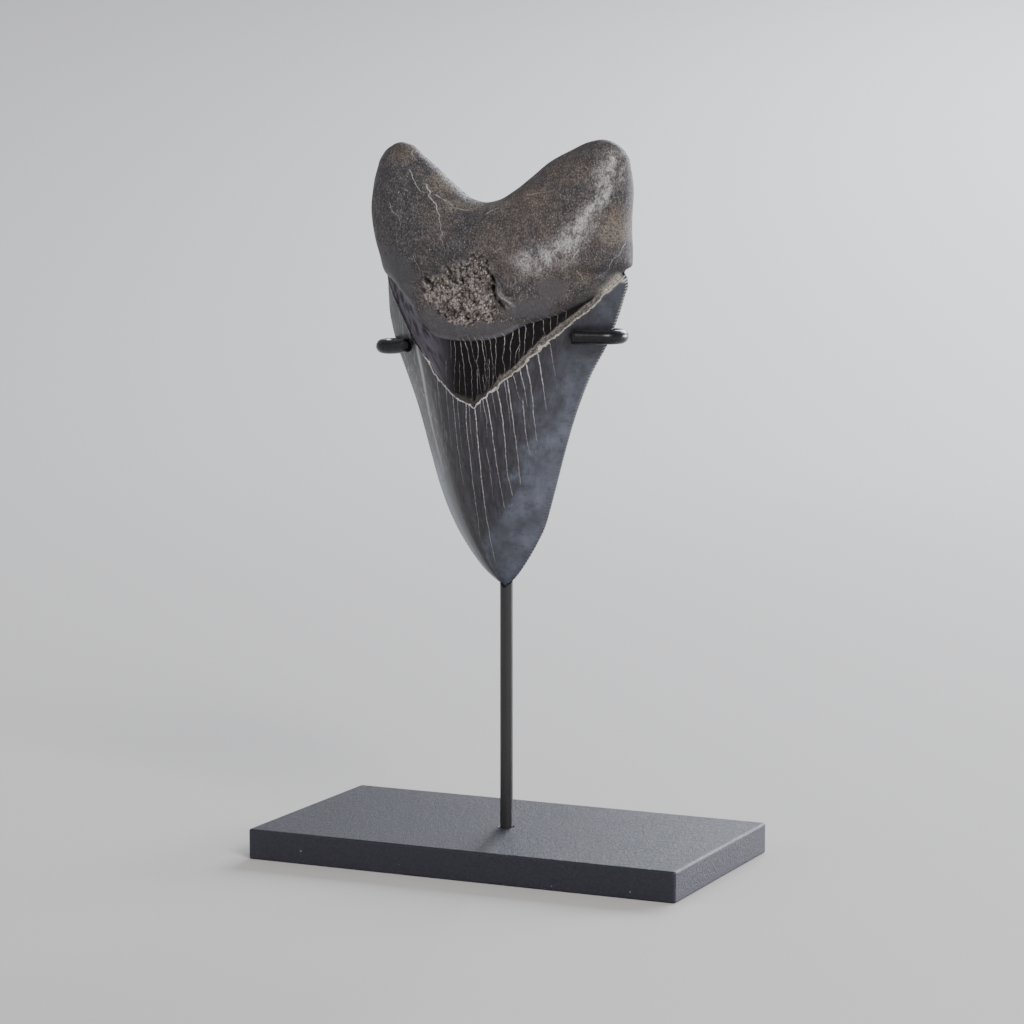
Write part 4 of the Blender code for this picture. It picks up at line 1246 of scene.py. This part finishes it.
def rootColour(w, grain, cracks, fill):
    # speckled charcoal with its tints; folds with painted shade in their valleys and painted light on their
    # crests;
    # a painted sheen highlight, the lip and cracks; then the hollow's crumbs in painted light and shade
    plain, wrinkle, sheen, crumb = (w.field(name) for name in ("plain", "wrinkle", "sheen", "crumb"))
    rough = plain.ramp(0.0, 1.0, 1.0, 0.28)
    streaks = w.noise(1.0, 3.0, 0.6, (0.6, 0.6, 0.16))
    leather = w.grain(2.3, 4.2, (1.0, 1.0, 0.6))
    # where the painted sheen highlight shows, broken up by folds, grain and patches
    sheenPattern = wrinkle.ramp(0.20, 0.75, 0.35, 1.0) * leather.ramp(0.30, 0.62, 0.28, 1.0)
    sheenPattern *= w.noise(0.48, 3.0, 0.62, (1.0, 1.0, 0.55)).ramp(0.36, 0.60, 0.42, 1.25)
    tone = w.painted(
        "rootCool",
        (w.noise(0.09, 3.0, 0.55).ramp(0.42, 0.60), "root"),
        (w.field("brown") * streaks.ramp(0.35, 0.65, 0.35, 0.95), "brown"),
        (w.field("rust") * streaks.ramp(0.38, 0.62, 0.2, 0.85), "rust"),
        (plain * 0.65, "rootPlain"),
        # painted shade in the folds' valleys and painted light on their crests
        (wrinkle.ramp(0.62, 0.22, 0.0, 0.34) * rough, "rootDark"),
        (wrinkle.ramp(0.66, 0.95, 0.0, 0.16) * rough, "rootSpeck"),
        (grain.ramp(0.46, 0.12, 0.0, 0.55) * rough, "rootDark"),
        (leather.ramp(0.48, 0.10, 0.0, 0.60) * rough, "rootDark"),
        (leather.ramp(0.56, 0.95, 0.0, 0.50) * rough, "rootSpeck"),
        (w.dots(1.5, 0.22, 0.34) * rough * 0.7, "glintSpeck"),
        (w.field("beige") * grain.ramp(0.40, 0.75) * 0.75, "beige"),
        # the painted sheen: a pale painted highlight, with painted glint dots in it
        (sheen * sheenPattern, "sheen"),
        (sheen * w.dots(0.95, 0.42, 0.40) * 0.75, "paintedHighlight"),
        (w.field("rootGap").ramp(2.0, 0.6) * plain * streaks.ramp(0.30, 0.70, 0.3, 1.0), "lip"),
        (cracks * 0.9, fill))
    # painted light on the crumbs' tops and painted shade in the pits between them, with painted highlight
    # dots
    lit = crumb.ramp(0.12, 0.68) * w.grain(1.6, 4.2).ramp(0.20, 0.80, 0.30, 1.0)
    lit *= w.noise(0.33).ramp(0.36, 0.56, 0.45, 1.0)
    bright = w.dots(1.35, 0.60, 0.40) * crumb.ramp(0.15, 0.6, 0.2, 0.9)
    crumbs = w.painted("crumbDark", (lit, "crumb"), (bright, "paintedHighlight"))
    return w.mix(w.field("spongy"), tone, crumbs)


def makeToothMaterial():
    # the enamel has a thin clear coat; the band and the root are rougher, each by its own measure
    material, w, shader = newMaterial("fossil tooth", toothColours, toothTip)
    x = w.add("ShaderNodeSeparateXYZ", "X", {"Vector": w.place})
    gap, rootGap = w.field("enamelGap"), w.field("rootGap")
    grain, cracks = w.grain(1.5, 3.0), crackLines(w)
    fill = w.mix(w.noise(1.5, sizes=(1.0, 1.0, 0.7)).ramp(0.50, 0.64), "crack", "crackBright")
    bead, nearEdge = w.field("bead"), w.field("edgeGap").ramp(1.10, 0.60)
    enamel = enamelColour(w, x.beside("Z"), cracks, fill, bead, nearEdge)
    colour = w.painted(
        edgeColour(w, x, grain, enamel, bandColour(w, x, cracks, fill)),
        (rootGap.ramp(-0.1, 0.45), rootColour(w, grain, cracks, fill)),
        (w.field("ridge") * 0.8, "crack"),
        (w.field("chalk") * grain.ramp(0.30, 0.62, 0.15, 1.0), "chalk"),
        # painted shade in crevices, gaps and the back's feeding hole
        (w.field("hole"), "hole"))
    enamelRough = w.noise(0.3, 3.0).ramp(0.3, 0.7, *toothFinish["enamelRough"])
    rough = w.mixValue(gap.ramp(-0.1, 0.1), enamelRough, toothFinish["bandRough"])
    rough = w.mixValue(rootGap.ramp(0.0, 0.5), rough, grain.ramp(0.2, 0.8, *toothFinish["rootRough"]))
    relief = w.mixValue(rootGap.ramp(0.0, 0.6), 0.5, w.mixValue(w.field("plain"), grain, 0.5))
    relief = w.mixValue(w.field("spongy"), relief, w.noise(1.1, 4.0, 0.65) * 2.0)
    relief += bead * nearEdge * 0.5
    finishMaterial(w, shader, colour, rough, relief, toothFinish["bumpStrength"], toothFinish["bumpDepth"])
    w.feed(shader["Coat Weight"], gap.ramp(0.1, -0.1, 0.0, toothFinish["coat"]))
    shader["Coat Roughness"].default_value = toothFinish["coatRough"]
    shader["Specular IOR Level"].default_value = toothFinish["specular"]
    return material


standColours = {
    "charcoal": (0.028, 0.028, 0.040),
    "charcoalDark": (0.010, 0.010, 0.015),
    "dust": (0.30, 0.31, 0.34),
    "coolGloss": (0.88, 0.88, 1.0),
    "steel": (0.030, 0.030, 0.032),
    "sleeve": (0.010, 0.010, 0.012),
}
# Finishes: smoothest and roughest, strength of the bump, and its depth.
standFinish = {
    "charcoal": ((0.38, 0.54), 0.5, 0.20),
    "steel": ((0.32, 0.46), 0.25, 0.05),
    "sleeve": ((0.20, 0.30), 0.15, 0.08),
}
sleeveSpecular = 0.26


def makeCharcoal():
    # matt powder coat: fine grain, with a few pale flecks
    material, w, shader = newMaterial("charcoal base", standColours)
    rough, *bump = standFinish["charcoal"]
    grain = w.grain(1.05, 3.4)
    colour = w.painted("charcoalDark", (grain, "charcoal"), (w.dots(0.45, 0.10, 0.20) * 0.7, "dust"))
    finishMaterial(w, shader, colour, grain.ramp(0.2, 0.8, *rough), grain, *bump)
    w.feed(shader["Specular Tint"], "coolGloss")
    return material


def makeSteel():
    # blackened steel with faint lengthwise drawing marks
    material, w, shader = newMaterial("black steel", standColours)
    rough, *bump = standFinish["steel"]
    marks = w.noise(1.0, 3.0, 0.6, (3.0, 3.0, 0.08))
    colour = w.mix(w.grain(2.4, 1.6), "sleeve", "steel")
    finishMaterial(w, shader, colour, marks.ramp(0.3, 0.7, *rough), marks, *bump)
    return material


def makeSleeveMaterial():
    # smooth black tubing with a soft gloss
    material, w, shader = newMaterial("black sleeve", standColours)
    rough, *bump = standFinish["sleeve"]
    grain = w.grain(0.9, 1.4)
    finishMaterial(w, shader, "sleeve", grain.ramp(0.3, 0.7, *rough), grain, *bump)
    shader["Specular IOR Level"].default_value = sleeveSpecular
    return material


charcoal, blackSteel, blackSleeve = makeCharcoal(), makeSteel(), makeSleeveMaterial()
for node, material in (
        ("base", charcoal), ("post", blackSteel), ("claw_bar", blackSteel),
        ("claw_sleeve_left", blackSleeve), ("claw_sleeve_right", blackSleeve)):
    stand[node][0].data.materials.append(material)
tooth.data.materials.append(makeToothMaterial())
print("tooth material:", len(tooth.data.materials[0].node_tree.nodes), "nodes")


# Floor, lights and camera.

studioPlan = {
    "flatRadius": 1.2,          # metres
    "floorRadius": 5.0,
    "bowlHeight": 2.2,
    "floorSides": 96,
    "floorColour": (0.62, 0.61, 0.60),
    "floorRoughness": 0.8,
    "skyColour": (0.80, 0.81, 0.83),
    "skyStrength": 0.38,
}
# Soft boxes: name, place in metres, width, height, watts, colour. All of them aim at aimPoint.
aimPoint = (0.0, 0.0, 0.1)
softBoxes = (
    ("key", (2.3, -1.7, 2.0), 1.2, 1.2, 88.0, (1.0, 0.97, 0.94)),
    ("fill", (-2.6, -1.5, 1.1), 0.9, 1.6, 17.0, (0.97, 0.98, 1.0)),
    ("back", (0.1, 2.6, 1.3), 1.6, 1.0, 84.0, (0.88, 0.92, 1.0)),
    ("side", (1.25, 1.85, 0.32), 1.0, 0.5, 62.0, (0.90, 0.93, 1.0)),
)
cameraPlan = {
    "place": (0.44127, -0.95346, 0.23652),  # metres
    "azimuth": 24.77,
    "pitch": 6.68,
    "lens": 114.785,
}


def buildFloor():
    # rings round the middle: level out to the edge of the flat, then curving up like a bowl
    around = studioPlan["floorSides"]
    turn = np.linspace(0, 2 * math.pi, around, endpoint=False)
    flat, far = studioPlan["flatRadius"], studioPlan["floorRadius"]
    radius = np.concatenate([[0.3, 0.8], np.linspace(flat, far, 30)])
    rise = studioPlan["bowlHeight"] * (np.clip((radius - flat) / (far - flat), 0, 1))**2
    circle = np.stack([np.cos(turn), np.sin(turn), 0 * turn], axis=-1)
    rings = (radius[:, None, None] * circle + rise[:, None, None] * np.array([0, 0, 1])) / mm
    index = np.arange(len(radius) * around).reshape(-1, around) + 1
    beside = np.roll(index, -1, axis=1)
    fan = np.stack([0 * index[0], index[0], beside[0]], axis=-1)
    quads = np.stack([index[:-1], index[1:], beside[1:], beside[:-1]], axis=-1).reshape(-1, 4)
    floor = addMesh("floor", np.vstack([[[0, 0, 0]], rings.reshape(-1, 3)]), [fan, quads])
    material = bpy.data.materials.new("pale floor")
    material.use_nodes = True
    shader = material.node_tree.nodes["Principled BSDF"].inputs
    shader["Base Color"].default_value = (*studioPlan["floorColour"], 1)
    shader["Roughness"].default_value = studioPlan["floorRoughness"]
    floor.data.materials.append(material)


def buildLights():
    for name, place, width, height, watts, colour in softBoxes:
        light = bpy.data.lights.new(name, "AREA")
        light.shape = "RECTANGLE"
        light.size, light.size_y, light.energy, light.color = width, height, watts, colour
        lamp = bpy.data.objects.new(name, light)
        lamp.location = place
        lamp.rotation_euler = (Vector(aimPoint) - Vector(place)).to_track_quat("-Z", "Y").to_euler()
        bpy.context.scene.collection.objects.link(lamp)
    world = bpy.data.worlds.new("pale room")
    world.use_nodes = True
    sky = world.node_tree.nodes["Background"].inputs
    sky["Color"].default_value = (*studioPlan["skyColour"], 1)
    sky["Strength"].default_value = studioPlan["skyStrength"]
    bpy.context.scene.world = world


def buildCamera():
    camera = bpy.data.objects.new("camera", bpy.data.cameras.new("camera"))
    camera.location = cameraPlan["place"]
    camera.rotation_euler = (
        math.radians(90 - cameraPlan["pitch"]), 0, math.radians(cameraPlan["azimuth"]))
    camera.data.lens = cameraPlan["lens"]
    camera.data.clip_start = 0.05
    bpy.context.scene.collection.objects.link(camera)
    bpy.context.scene.camera = camera


buildFloor()
buildLights()
buildCamera()
print("floor, lights and camera set")
